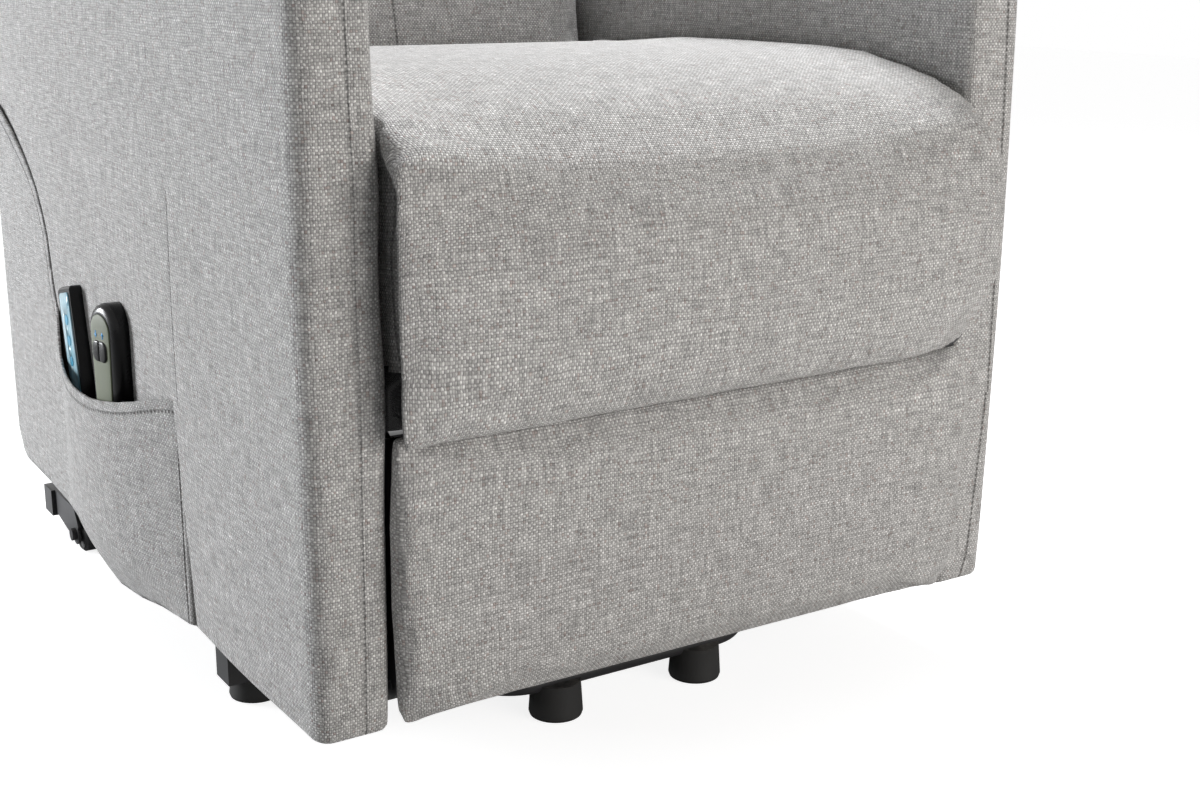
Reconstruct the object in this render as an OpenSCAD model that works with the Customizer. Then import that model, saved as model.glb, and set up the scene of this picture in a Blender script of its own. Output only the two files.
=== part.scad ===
// Lift recliner chair: upholstered body on a powered steel lift and recline mechanism.
// Millimetres, +Z up, the sitter faces -Y. The origin is on the floor under the middle of the chair.
// Profiles are drawn as [distance behind the arm fronts, height above the floor].

/* [Upholstered body] */
// Width over the outer faces of the arms
arm_span = 680; // [640:5:760]
// Thickness of an arm
arm_thick = 61; // [54:1:80]
// Depth of an arm, front to rear
arm_depth = 828; // [800:4:860]
// Height of the arms' lower edge
arm_bottom = 78; // [72:1:90]
// Height of the arm panel, below its pad
arm_top = 622; // [600:2:660]
// Thickness of the pad on top of an arm
arm_pad_thick = 36; // [24:1:50]
// How far an arm pad stands out past each side of its arm
arm_pad_proud = 3; // [0:1:4]
// Radius of the arm's front corner, seen from above
arm_corner = 24; // [12:1:28]
// Thickness of the board inside an arm
arm_board_thick = 18; // [12:1:22]

/* [Seat] */
// How far the seat front stands ahead of the arms
seat_proud = 50; // [35:1:60]
// Height of the seat's crown
seat_crown = 560; // [540:1:580]
// Height of the seat's front roll
seat_front_top = 509; // [498:1:518]
// Height of the lower edge of the seat front
seat_skirt_bottom = 309; // [306:1:318]
// Height of the top of the seat's timber frame
seat_deck = 408; // [402:1:416]
// Height of a seat frame rail
seat_rail_h = 51; // [40:1:54]
// Thickness of a seat frame rail
seat_rail_t = 28; // [20:1:34]
// Room between the seat frame and the recline rods beside it
seat_frame_clear = 3; // [2:0.5:12]
// Number of zigzag springs under the seat
seat_spring_count = 5; // [3:1:6]
// Wire thickness of the zigzag springs
spring_wire = 3.6; // [3:0.1:4]

/* [Back] */
// Lean of the back at rest, degrees from upright
back_lean = 11; // [8:0.5:13]
// Thickness of the back cushions
back_cushion_thick = 126; // [100:2:134]
// Depth of the back's rear shell, behind the cushions
back_shell_depth = 78; // [66:1:84]
// Wall of the rear shell
back_shell_wall = 8; // [5:1:10]
// Length of the back above the seat line, along its lean
back_rise = 530; // [480:5:560]
// Height of the top of the panel that closes the rear of the seat body
valance_top = 325; // [240:5:330]
// Length of the rear shell below the seat line, along its lean
back_drop = 172; // [150:2:176]
// Height of each back cushion, bottom one first
lower_pillow = 232; // [210:2:250]
// Height of the middle back cushion
middle_pillow = 196; // [170:2:210]
// Width of an upright of the back frame
upright_w = 28; // [20:1:32]

/* [Foot rest] */
// Height of the foot rest panel's lower edge
foot_panel_bottom = 78; // [74:1:90]
// Height of the foot rest panel's upper edge
foot_panel_top = 306; // [290:1:307]
// How far the middle of the foot rest panel stands ahead of the arms
foot_panel_proud = 20; // [12:1:26]
// Thickness of the foot rest's board
foot_board_thick = 12; // [9:1:13]
// Pin to pin length of a foot rest scissor link
scissor_len = 190; // [184:1:196]
// Angle of the folded scissor links to their line of travel
scissor_folded = 83; // [82:0.5:84]
// Angle of the opened scissor links to their line of travel
scissor_open = 10; // [8:0.5:14]
// How far the line of travel swings up as the foot rest opens
scissor_climb = 15; // [10:0.5:18]

/* [Lift base] */
// Width of the square base tubes
tube = 30; // [25:1:32]
// Wall of the steel tubes
tube_wall = 2; // [1.5:0.1:3]
// Height of the base tubes above the floor
base_clear = 20; // [16:1:22]
// Half length of the front cross tube
front_tube_half = 311; // [300:1:325]
// How much further out each end of the rear cross tube stands
rear_tube_past = 9; // [4:1:12]
// Distance of the front cross tube behind the arm fronts
front_tube_y = 258; // [250:1:264]
// Distance of the rear cross tube behind the arm fronts
rear_tube_y = 796; // [785:1:796]
// Diameter of a rubber foot
foot_d = 48; // [36:1:50]
// Distance between the two feet of the front stabiliser
stabiliser_feet = 150; // [130:2:180]
// Diameter of the stabiliser's round tube
stabiliser_tube = 20; // [16:1:22]
// Diameter of a rear transport wheel
wheel_d = 42; // [38:1:46]
// Width of a rear transport wheel
wheel_w = 24; // [18:1:26]

/* [Links and pins] */
// Width of a lift link
lift_link_w = 25; // [20:1:28]
// Thickness of a lift link
lift_link_t = 5; // [4:0.5:5.5]
// Width of a foot rest link
foot_link_w = 20; // [16:1:21]
// Thickness of a foot rest link
foot_link_t = 4; // [3:0.5:4.5]
// Radius of the lift pins
lift_pin_r = 5; // [4:0.5:6]
// Radius of the foot rest pins
foot_pin_r = 4; // [3:0.5:4.5]
// Radial running clearance of a pin in its hole
pin_play = 0.05; // [0.02:0.01:0.1]
// Radial room at the lift links' loosely fitted pins
loose_play = 1.6; // [1.4:0.1:2]
// Thickness of a mechanism side plate
side_plate_t = 4; // [3:0.5:4]

/* [Side pocket and handsets] */
// How far a pocket bulges from the side of its arm
pocket_bulge = 34; // [32:1:38]
// Thickness of the pocket's fabric wall
pocket_wall = 3; // [2:0.5:3]
// Height of the pocket's inner floor
pocket_floor = 186; // [170:1:190]
// Width of the lift handset
handset_w = 48; // [42:1:50]
// Thickness of the lift handset
handset_t = 26; // [20:1:26]
// Length of the lift handset
handset_len = 155; // [140:1:170]
// Width of the massage handset
massage_w = 42; // [36:1:44]
// Thickness of the massage handset
massage_t = 15; // [12:1:15]
// Length of the massage handset
massage_len = 146; // [130:1:160]

/* [Hidden] */
$fn = 40;
seam = 0.3;                                   // gap kept between soft parts that meet
arm_out = arm_span / 2;
arm_in = arm_out - arm_thick;
fabric_black = [0.09, 0.09, 0.1];
fabric_grey = [0.72, 0.7, 0.68];

// Planes of the mechanism, as distances from the chair's middle plane
plate_out = arm_in - 10;
plate_in = plate_out - side_plate_t;
outer_link = plate_in - 4;                    // outer faces of the outer row of links
inner_link = outer_link - 8;                  // outer faces of the inner row of links
rod_out = inner_link - foot_link_t - 3;       // outer faces of the recline rods
rail_out = inner_link - lift_link_t - 2 - 6;  // outer faces of the base side rails
pivot_plate_t = 6;
seat_frame_w = 2 * (rod_out - foot_link_t - seat_frame_clear);
rear_tube_half = front_tube_half + rear_tube_past;

// Pivots of the lift mechanism with the chair down
front_base_pin = [125, 68];
rear_base_pin = [175, 75];
front_seat_pin = [413, 130];
rear_seat_pin = [632, 82];
actuator_base_pin = [302, 94];
actuator_seat_pin = [127, 287];
actuator_span = norm(actuator_seat_pin - actuator_base_pin);
actuator_angle = atan2(actuator_seat_pin[1] - actuator_base_pin[1],
                       actuator_seat_pin[0] - actuator_base_pin[0]);

// Pivots of the back and foot rest with the foot rest folded
back_pin = [605, 400];
foot_pin = [60, 285];
scissor_w = scissor_len * cos(scissor_folded);
scissor_h = scissor_len * sin(scissor_folded);
slot_pin = foot_pin - [0, scissor_h];
inner_end = foot_pin + [-scissor_w, -scissor_h];
outer_end = foot_pin + [-scissor_w, 0];
first_cross = (foot_pin + inner_end) / 2;
second_cross = first_cross - [scissor_w, 0];
rod_front_pin = foot_pin + 35 * [cos(251.65), sin(251.65)];
rod_rear_pin = back_pin + 135 * [cos(220), sin(220)];

// Heights of the base
rail_bottom = base_clear + tube;
front_member = [100, seat_deck - seat_rail_h - 25];
rear_member = [520, 288];
member = 25;
cushion_half = arm_in - 2;
back_half = arm_in - 5;

// A point in the leaning back, from its front face and along its lean
back_origin = [575, 548];
function on_back(v, s) =
  back_origin + [s * sin(back_lean) + v * cos(back_lean), s * cos(back_lean) - v * sin(back_lean)];

// The arm fronts lie where the whole chair is centred along Y
arm_front = (seat_proud - on_back(back_cushion_thick + back_shell_depth, back_rise)[0]) / 2;

// The slotted path of the foot rest's guide pin, from folded to open
function slot_at(t) =
  let (b = scissor_folded + (scissor_open - scissor_folded) * t)
  let (g = scissor_climb * t)
  foot_pin - scissor_len * sin(b) * [sin(g), cos(g)];

// ---------- shared forms ----------

// A profile drawn in [distance behind the arm fronts, height], as a slab from x0 to x1
module slab(x0, x1)
  translate([x0, arm_front, 0])
    rotate([90, 0, 90])
      linear_extrude(x1 - x0)
        children();

// The same thing on both sides of the chair
module both_sides() {
  children();
  mirror([1, 0, 0]) children();
}

// A round bar across the chair
module cross_bar(at, r, x0, x1)
  translate([x0, arm_front + at[0], at[1]])
    rotate([0, 90, 0])
      cylinder(r = r, h = x1 - x0);

// A box from its lowest to its highest corner, with its depth measured from the arm fronts
module block(low, high)
  translate([low[0], arm_front + low[1], low[2]])
    cube(high - low);

// A rectangle with round corners
module round_rect(low, high, r) {
  translate(low + [r, 0]) square([high[0] - low[0] - 2 * r, high[1] - low[1]]);
  translate(low + [0, r]) square([high[0] - low[0], high[1] - low[1] - 2 * r]);
  for (x = [low[0] + r, high[0] - r], y = [low[1] + r, high[1] - r])
    translate([x, y]) circle(r);
}

// A flat bar between two points, with round eyes a little wider than its shank
module bar_2d(a, b, w) {
  span = norm(b - a);
  shank = 0.8 * w;
  translate(a)
    rotate(atan2(b[1] - a[1], b[0] - a[0]))
      translate([0, -shank / 2]) square([span, shank]);
  translate(a) circle(w / 2);
  translate(b) circle(w / 2);
}

// A hole in a profile
module hole_2d(at, r)
  translate(at) circle(r);

// A square tube along X, with open ends
module tube_x(low_y, low_z, size, wall, x0, x1)
  difference() {
    block([x0, low_y, low_z], [x1, low_y + size, low_z + size]);
    block([x0 - 1, low_y + wall, low_z + wall], [x1 + 1, low_y + size - wall, low_z + size - wall]);
  }

// A flat zigzag spring of n bends along +X, in the XY plane
module zigzag_2d(n, pitch, reach, wire) {
  r = pitch / 2;
  for (i = [0 : n - 1]) {
    side = i % 2 == 0 ? 1 : -1;
    translate([i * pitch, side * (reach / 2 - r)])
      intersection() {
        difference() {
          circle(r + wire / 2);
          circle(r - wire / 2);
        }
        translate([-pitch, side > 0 ? 0 : -pitch * 2]) square([pitch * 2, pitch * 2]);
      }
    if (i < n - 1)
      translate([i * pitch + r - wire / 2, -(reach / 2 - r)]) square([wire, reach - 2 * r]);
  }
}

// ---------- lift base ----------

rail_front = 105;
cap_t = 2.5;

// The square side rails that lie on the two cross tubes
module base_side_rails() {
  rear_end = rear_tube_y + tube;
  color(fabric_black)
    both_sides()
      difference() {
        block([rail_out - tube, rail_front, rail_bottom], [rail_out, rear_end, rail_bottom + tube]);
        block([rail_out - tube + tube_wall, rail_front - 1, rail_bottom + tube_wall],
              [rail_out - tube_wall, rear_end + 1, rail_bottom + tube - tube_wall]);
      }
}

module front_cross_tube()
  color(fabric_black)
    tube_x(front_tube_y, base_clear, tube, tube_wall, -front_tube_half, front_tube_half);

module rear_cross_tube()
  color(fabric_black)
    tube_x(rear_tube_y, base_clear, tube, tube_wall, -rear_tube_half, rear_tube_half);

stabiliser_y = 98;
stabiliser_bend = 45;
stabiliser_half = 140;
stabiliser_z = 25 + stabiliser_tube / 2;

// The anti-tip bar: a round tube bent into a U ahead of the front cross tube
module front_stabiliser()
  color(fabric_black) {
    r = stabiliser_tube / 2;
    straight = stabiliser_half - stabiliser_bend;
    cross_bar([stabiliser_y, stabiliser_z], r, -straight, straight);
    both_sides()
      translate([straight, arm_front + stabiliser_y + stabiliser_bend, stabiliser_z]) {
        rotate([0, 0, -90])
          rotate_extrude(angle = 90)
            translate([stabiliser_bend, 0]) circle(r);
        translate([stabiliser_bend, 0, 0])
          rotate([-90, 0, 0])
            cylinder(r = r, h = front_tube_y - stabiliser_y - stabiliser_bend);
      }
  }

// Plugs in the open ends of the cross tubes and the rails
module tube_end_caps() {
  color([0.05, 0.05, 0.05])
    both_sides()
      for (end = [[front_tube_half, front_tube_y], [rear_tube_half, rear_tube_y]]) {
        block([end[0], end[1], base_clear], [end[0] + cap_t, end[1] + tube, base_clear + tube]);
        block([end[0] - 14, end[1] + tube_wall, base_clear + tube_wall],
              [end[0], end[1] + tube - tube_wall, base_clear + tube - tube_wall]);
      }
  color([0.05, 0.05, 0.05])
    both_sides()
      for (end = [[rail_front, -cap_t, 0], [rear_tube_y + tube, 0, -14]]) {
        block([rail_out - tube, end[0] + end[1], rail_bottom], [rail_out, end[0] + end[1] + cap_t, rail_bottom + tube]);
        block([rail_out - tube + tube_wall, end[0] + end[2], rail_bottom + tube_wall],
              [rail_out - tube_wall, end[0] + end[2] + 14, rail_bottom + tube - tube_wall]);
      }
}

// A cup-shaped rubber foot that stands on the floor
module rubber_foot(h)
  rotate_extrude()
    polygon([[0, 0], [foot_d / 2 - 4, 0], [foot_d / 2 - 1, 1.2], [foot_d / 2, 4],
             [foot_d / 2 - 2, h], [0, h]]);

module rubber_feet()
  color([0.06, 0.06, 0.06])
    both_sides() {
      translate([stabiliser_feet / 2, arm_front + stabiliser_y, 0])
        difference() {
          rubber_foot(stabiliser_z - 2);
          translate([-foot_d, 0, stabiliser_z])
            rotate([0, 90, 0]) cylinder(r = stabiliser_tube / 2, h = 2 * foot_d);
        }
      translate([front_tube_half - foot_d / 2 - 4, arm_front + front_tube_y + tube / 2, 0])
        rubber_foot(base_clear);
    }

wheel_at = [720, wheel_d / 2];
wheel_mid = rear_tube_half - 2 - 3 - 1 - wheel_w / 2;
fork_t = 3;

module wheel_brackets()
  color(fabric_black)
    both_sides() {
      for (x = [wheel_mid + wheel_w / 2 + 1, wheel_mid - wheel_w / 2 - 1 - fork_t])
        slab(x, x + fork_t)
          difference() {
            union() {
              polygon([[rear_tube_y, base_clear + 4], [rear_tube_y, base_clear + tube],
                       [wheel_at[0], base_clear + tube], [wheel_at[0] - 12, base_clear + 12],
                       [wheel_at[0], wheel_at[1] - 10]]);
              hole_2d(wheel_at, 12);
            }
            hole_2d(wheel_at, 4);
          }
      block([wheel_mid - wheel_w / 2 - 1, wheel_at[0], base_clear + tube - fork_t],
            [wheel_mid + wheel_w / 2 + 1, rear_tube_y, base_clear + tube]);
      cross_bar(wheel_at, 4, wheel_mid - wheel_w / 2 - 1 - fork_t, wheel_mid + wheel_w / 2 + 1 + fork_t);
      cross_bar(wheel_at, 7, wheel_mid + wheel_w / 2 + 1 + fork_t, wheel_mid + wheel_w / 2 + 1 + fork_t + 5);
    }

module rear_wheel()
  color([0.07, 0.07, 0.07])
    translate([wheel_mid, arm_front + wheel_at[0], wheel_at[1]])
      rotate([0, 90, 0])
        rotate_extrude()
          polygon([[4 + pin_play, -wheel_w / 2], [9, -wheel_w / 2], [11, -wheel_w / 2 + 3],
                   [wheel_d / 2 - 4, -wheel_w / 2 + 3], [wheel_d / 2 - 3, -wheel_w / 2 + 1],
                   [wheel_d / 2, -wheel_w / 2 + 4], [wheel_d / 2, wheel_w / 2 - 4],
                   [wheel_d / 2 - 3, wheel_w / 2 - 1], [wheel_d / 2 - 4, wheel_w / 2 - 3],
                   [11, wheel_w / 2 - 3], [9, wheel_w / 2], [4 + pin_play, wheel_w / 2]]);

module rear_wheel_left() mirror([1, 0, 0]) rear_wheel();

module rear_wheel_right() rear_wheel();

// Plates welded to the rails, each with the two fixed pins of the lift links
module lift_pivot_plates()
  color(fabric_black)
    both_sides() {
      slab(rail_out, rail_out + pivot_plate_t) {
        polygon([[106, rail_bottom + 4], [205, rail_bottom + 4],
                 [rear_base_pin[0] + 16, rear_base_pin[1] + 4], [front_base_pin[0] - 14, front_base_pin[1] + 4]]);
        hole_2d(front_base_pin, 15);
        hole_2d(rear_base_pin, 15);
      }
      cross_bar(front_base_pin, lift_pin_r, rail_out + pivot_plate_t, outer_link + 2);
      cross_bar(front_base_pin, lift_pin_r + 4, rail_out + pivot_plate_t, outer_link - lift_link_t - 0.5);
      cross_bar(rear_base_pin, lift_pin_r, rail_out + pivot_plate_t, inner_link + 2);
    }

clevis_gap = 13;
clevis_t = 5;

// The clevis on the front cross tube that carries the motor end of the actuator
module actuator_foot_clevis()
  color(fabric_black) {
    both_sides()
      slab(clevis_gap, clevis_gap + clevis_t) {
        polygon([[front_tube_y + 2, base_clear + tube], [front_tube_y + tube, base_clear + tube],
                 actuator_base_pin + [12, -6], actuator_base_pin + [-10, 9]]);
        hole_2d(actuator_base_pin, 12);
      }
    cross_bar(actuator_base_pin, lift_pin_r, -clevis_gap - clevis_t - 3, clevis_gap + clevis_t + 3);
  }

// ---------- lift links ----------

module lift_link_profile(a, b, play_a, play_b)
  difference() {
    bar_2d(a, b, lift_link_w);
    hole_2d(a, lift_pin_r + play_a);
    hole_2d(b, lift_pin_r + play_b);
  }

module front_lift_links()
  color(fabric_black)
    both_sides()
      slab(outer_link - lift_link_t, outer_link)
        lift_link_profile(front_base_pin, front_seat_pin, pin_play, pin_play);

torque_at = 0.9;
torque_pos = front_base_pin + torque_at * (front_seat_pin - front_base_pin);

// The tube that makes the two front links swing as one
module lift_torque_tube()
  color(fabric_black)
    difference() {
      cross_bar(torque_pos, 10, -(outer_link - lift_link_t), outer_link - lift_link_t);
      cross_bar(torque_pos, 8, -arm_span, arm_span);
    }

module rear_lift_links()
  color(fabric_black)
    both_sides()
      slab(inner_link - lift_link_t, inner_link)
        lift_link_profile(rear_base_pin, rear_seat_pin, pin_play, loose_play);

// ---------- lift actuator ----------

actuator_tube_r = 19;
actuator_rod_r = 10;
actuator_body_end = actuator_span - 46;

// Draws along the actuator's own axis, from its base pin
module along_actuator()
  translate([0, arm_front + actuator_base_pin[0], actuator_base_pin[1]])
    rotate([actuator_angle - 90, 0, 0])
      children();

module actuator_motor()
  color([0.13, 0.13, 0.14])
    along_actuator() {
      difference() {
        union() {
          translate([-9, -11, -12]) cube([18, 22, 34]);
          translate([-26, -24, 18]) cube([52, 50, 44]);
          translate([0, 44, 40]) cylinder(r = 24, h = 96);
          translate([-24, 16, 22]) cube([48, 40, 36]);
        }
        translate([-30, 0, 0]) rotate([0, 90, 0]) cylinder(r = lift_pin_r + pin_play, h = 60);
      }
    }

module actuator_tube()
  color([0.16, 0.16, 0.17])
    along_actuator()
      difference() {
        translate([0, 0, 62]) cylinder(r = actuator_tube_r, h = actuator_body_end - 62);
        translate([0, 0, 66]) cylinder(r = actuator_rod_r + pin_play, h = actuator_body_end);
      }

module actuator_rod()
  color([0.75, 0.76, 0.78])
    along_actuator()
      difference() {
        union() {
          translate([0, 0, 70]) cylinder(r = actuator_rod_r, h = actuator_span - 70 - 14);
          translate([-9, -13, actuator_span - 16]) cube([18, 26, 16]);
          translate([-9, 0, actuator_span]) rotate([0, 90, 0]) cylinder(r = 13, h = 18);
        }
        translate([-30, 0, actuator_span])
          rotate([0, 90, 0]) cylinder(r = lift_pin_r + loose_play, h = 60);
      }

// ---------- seat mechanism ----------

// Outline of a mechanism side plate, with the guide slot of the foot rest
module side_plate_profile()
  difference() {
    union() {
      polygon([[44, 84], [86, 84], [120, 238], [360, 232], [396, 122], [430, 122], [446, 236],
               [560, 232], [610, 74], [652, 74], [664, 120], [648, 250], [618, 300], [618, 350], [620, 400],
               [590, 412],
               [560, 330], [520, 356], [170, 356], [110, 356], [44, 306]]);
      hole_2d(front_seat_pin, 22);
      hole_2d(rear_seat_pin, 20);
      hole_2d(back_pin, 17);
    }
    slot_2d(foot_pin_r + 0.4);
    for (y = [180, 270])
      hole_2d([y, 294], 24);
  }

// Heading of the slot's path, in degrees
function slot_heading(t) =
  let (d = slot_at(t + 0.01) - slot_at(t - 0.01))
  atan2(d[1], d[0]);

// A point beside the path, at an angle to its heading
function beside_slot(t, r, turn) =
  slot_at(t) + r * [cos(slot_heading(t) + turn), sin(slot_heading(t) + turn)];

// The curved slot: both edges follow the pin's path, and the ends are round
module slot_2d(r) {
  steps = 12;
  polygon(concat([for (i = [0 : steps]) beside_slot(i / steps, r, 90)],
                 [for (a = [60 : -30 : -60]) beside_slot(1, r, a)],
                 [for (i = [steps : -1 : 0]) beside_slot(i / steps, r, -90)],
                 [for (a = [-120 : -30 : -240]) beside_slot(0, r, a)]));
}

module side_plate()
  color([0.12, 0.12, 0.13]) {
    slab(plate_in, plate_out) side_plate_profile();
    cross_bar(front_seat_pin, lift_pin_r, outer_link - lift_link_t - 2, plate_in);
    cross_bar(rear_seat_pin, lift_pin_r, inner_link - lift_link_t - 2, plate_in);
    cross_bar(rear_seat_pin, lift_pin_r + 4, inner_link + 0.5, plate_in);
    cross_bar(foot_pin, foot_pin_r, inner_link - foot_link_t - 2, plate_in);
    cross_bar(foot_pin, foot_pin_r + 3, inner_link + 0.5, plate_in);
    cross_bar(back_pin, lift_pin_r, inner_link - foot_link_t - 2, plate_in);
    cross_bar(back_pin, lift_pin_r + 4, inner_link + 0.5, plate_in);
  }

module side_plate_left() mirror([1, 0, 0]) side_plate();

module side_plate_right() side_plate();

// The tube under the seat front, with the clevis that the actuator pushes on
module front_cross_member()
  color(fabric_black) {
    tube_x(front_member[0], front_member[1], member, tube_wall, -plate_in, plate_in);
    both_sides()
      slab(clevis_gap, clevis_gap + clevis_t) {
        polygon([[front_member[0] - 2, front_member[1]], [front_member[0] + member, front_member[1]],
                 actuator_seat_pin + [12, 0], actuator_seat_pin - [12, 0]]);
        hole_2d(actuator_seat_pin, 12);
      }
    cross_bar(actuator_seat_pin, lift_pin_r, -clevis_gap - clevis_t - 3, clevis_gap + clevis_t + 3);
  }

// The rear tube, with two posts that carry the back of the seat frame
module rear_cross_member()
  color(fabric_black) {
    tube_x(rear_member[0], rear_member[1], member, tube_wall, -plate_in, plate_in);
    both_sides()
      block([seat_frame_w / 2 - seat_rail_t, rear_member[0], rear_member[1] + member],
            [seat_frame_w / 2, rear_member[0] + member, seat_deck - seat_rail_h]);
  }

// ---------- seat ----------

seat_frame_front = 95;
seat_frame_rear = rear_member[0] + member;

module seat_frame()
  color([0.78, 0.64, 0.45])
    difference() {
      block([-seat_frame_w / 2, seat_frame_front, seat_deck - seat_rail_h],
            [seat_frame_w / 2, seat_frame_rear, seat_deck]);
      block([-seat_frame_w / 2 + seat_rail_t, seat_frame_front + seat_rail_t, seat_deck - seat_rail_h - 1],
            [seat_frame_w / 2 - seat_rail_t, seat_frame_rear - seat_rail_t, seat_deck + 1]);
    }

spring_pitch = 38;
spring_reach = 46;

module seat_springs()
  color([0.5, 0.5, 0.52]) {
    room = seat_frame_w - 2 * seat_rail_t;
    run = seat_frame_rear - seat_frame_front;
    bends = floor((run - spring_pitch - 8) / spring_pitch) + 1;
    for (i = [0 : seat_spring_count - 1])
      translate([-room / 2 + room * (i + 0.5) / seat_spring_count, 
                 arm_front + seat_frame_front + (run - (bends - 1) * spring_pitch) / 2, seat_deck])
        rotate([0, 0, 90])
          linear_extrude(spring_wire)
            zigzag_2d(bends, spring_pitch, spring_reach, spring_wire);
  }

cushion_floor = seat_deck + spring_wire + 0.4;
seat_rear = on_back(0, 0)[0] - 5;

// Side outline of the seat cushion: crowned top, rolled front and a skirt ahead of the frame
module seat_outline() {
  polygon([[13 - seat_proud, seat_skirt_bottom + 29], [29 - seat_proud, seat_skirt_bottom + 9],
           [42 - seat_proud, seat_skirt_bottom], [8, seat_skirt_bottom], [30, seat_skirt_bottom + 21],
           [60, seat_deck - 8], [80, cushion_floor], [seat_rear - 26, cushion_floor],
           [seat_rear, seat_crown - 14], [seat_rear - 30, seat_crown - 9], [391, seat_crown - 1],
           [227, seat_crown], [150, seat_crown - 2], [86, seat_crown - 7], [19, seat_crown - 22],
           [17 - seat_proud, seat_front_top], [10 - seat_proud, seat_front_top - 11],
           [3 - seat_proud, seat_front_top - 39], [-seat_proud, seat_front_top - 64],
           [1 - seat_proud, seat_front_top - 98], [4 - seat_proud, seat_front_top - 118],
           [8 - seat_proud, seat_front_top - 150]]);
}

motor_pod_r = 28;
motor_pod_h = 20;
seat_pods = [[-95, 250], [95, 250]];

module seat_cushion()
  color(fabric_grey)
    difference() {
      intersection() {
        slab(-cushion_half, cushion_half) seat_outline();
        translate([0, arm_front, 0])
          linear_extrude(seat_crown + 1)
            round_rect([-cushion_half, -seat_proud], [cushion_half, seat_rear], 14);
      }
      for (p = seat_pods)
        translate([p[0], arm_front + p[1], cushion_floor - 1])
          cylinder(r = motor_pod_r + 1, h = motor_pod_h + 2);
    }

// Vibration motors that sit on the springs, in pockets of the cushion
module seat_vibration_motors()
  color([0.1, 0.1, 0.1])
    for (p = seat_pods)
      translate([p[0], arm_front + p[1], seat_deck + spring_wire]) {
        cylinder(r = motor_pod_r, h = motor_pod_h - 6);
        cylinder(r = motor_pod_r - 8, h = motor_pod_h);
      }

// ---------- arms ----------

board_in = arm_in + 6;
board_gap = 0.5;

module arm_boards()
  color([0.76, 0.62, 0.44])
    both_sides()
      slab(board_in, board_in + arm_board_thick)
        difference() {
          round_rect([30, arm_bottom + 14], [arm_depth - 30, arm_top - 14], 30);
          for (i = [0 : 5])
            hole_2d([90 + i * (arm_depth - 178) / 5, arm_top - 152], 44);
        }

spacer_r = 12;
spacer_at = [[150, 262], [330, 262], [480, 300], [600, 200]];

// The padded arm: foam and fabric closed around its board
module arm()
  color(fabric_grey)
    difference() {
      intersection() {
        slab(arm_in, arm_out)
          round_rect([0, arm_bottom], [arm_depth, arm_top], 22);
        translate([0, arm_front, 0])
          linear_extrude(arm_top)
            union() {
              round_rect([arm_in, 0], [arm_out, arm_depth], arm_corner);
            }
      }
      slab(board_in - board_gap, board_in + arm_board_thick + board_gap)
        round_rect([30 - board_gap, arm_bottom + 14 - board_gap],
                   [arm_depth - 30 + board_gap, arm_top - 14 + board_gap], 30);
      for (p = spacer_at)
        cross_bar(p, spacer_r + 0.5, arm_in - 1, board_in);
    }

module arm_left() mirror([1, 0, 0]) arm();

module arm_right() arm();

// Spacers that carry the arm boards on the side plates, with their bolts
module arm_spacers()
  color([0.3, 0.3, 0.32])
    both_sides()
      for (p = spacer_at) {
        cross_bar(p, spacer_r, plate_out, board_in);
        cross_bar(p, 8, plate_in - 3.4, plate_in);
      }

module arm_pad()
  color(fabric_grey)
    intersection() {
      slab(arm_in - arm_pad_proud, arm_out + arm_pad_proud)
        round_rect([-4, arm_top + seam], [arm_depth - 40, arm_top + arm_pad_thick], arm_pad_thick / 2 - 2);
      translate([0, arm_front, 0])
        linear_extrude(arm_top + arm_pad_thick)
          round_rect([arm_in - arm_pad_proud, -4], [arm_out + arm_pad_proud, arm_depth - 40], arm_corner);
    }

module arm_pad_left() mirror([1, 0, 0]) arm_pad();

module arm_pad_right() arm_pad();

// ---------- pockets and handsets ----------

pocket_front = 257;
pocket_rear = 634;
pocket_mid = (pocket_front + pocket_rear) / 2;
pocket_bow = (pow((pocket_rear - pocket_front) / 2, 2) + pow(pocket_bulge, 2)) / (2 * pocket_bulge);
pocket_centre = arm_out + pocket_bulge - pocket_bow;

// Side outline of the pocket panel: a mouth in front, a sewn edge that climbs to the rear
module pocket_outline()
  polygon([[pocket_front, arm_bottom], [arm_depth - 24, arm_bottom], [arm_depth - 4, arm_bottom + 20],
           [arm_depth - 4, 490], [760, 466], [700, 424], [658, 370], [pocket_rear, 312],
           [590, 274], [540, 258], [480, 251], [420, 253], [360, 262], [300, 277], [pocket_front + 4, 282]]);

module pocket_bowed(r)
  translate([pocket_centre, arm_front + pocket_mid, 0])
    cylinder(r = r, h = 600, $fn = 160);

module pocket()
  color(fabric_grey)
    difference() {
      intersection() {
        slab(arm_out + seam, arm_out + pocket_bulge + 1) pocket_outline();
        union() {
          pocket_bowed(pocket_bow);
          block([arm_out, pocket_rear - 30, 0], [arm_out + pocket_wall, arm_depth, 600]);
        }
      }
      intersection() {
        pocket_bowed(pocket_bow - pocket_wall);
        block([arm_out - 1, pocket_front, pocket_floor], [arm_out + 60, pocket_rear, 600]);
      }
    }

module pocket_left() mirror([1, 0, 0]) pocket();

module pocket_right() pocket();

handset_y = 405;
handset_x = -arm_out - 0.7;
handset_z = pocket_floor + 0.5;
rocker_z = handset_z + 112;
rocker_w = 28;
rocker_h = 19;
rocker_swing_r = 1.5;
rocker_centre = -handset_t + 2.5;

// Draws on the lift handset: x out of the chair's side, y and z as the chair's
module on_handset()
  translate([handset_x, arm_front + handset_y, 0])
    children();

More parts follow.
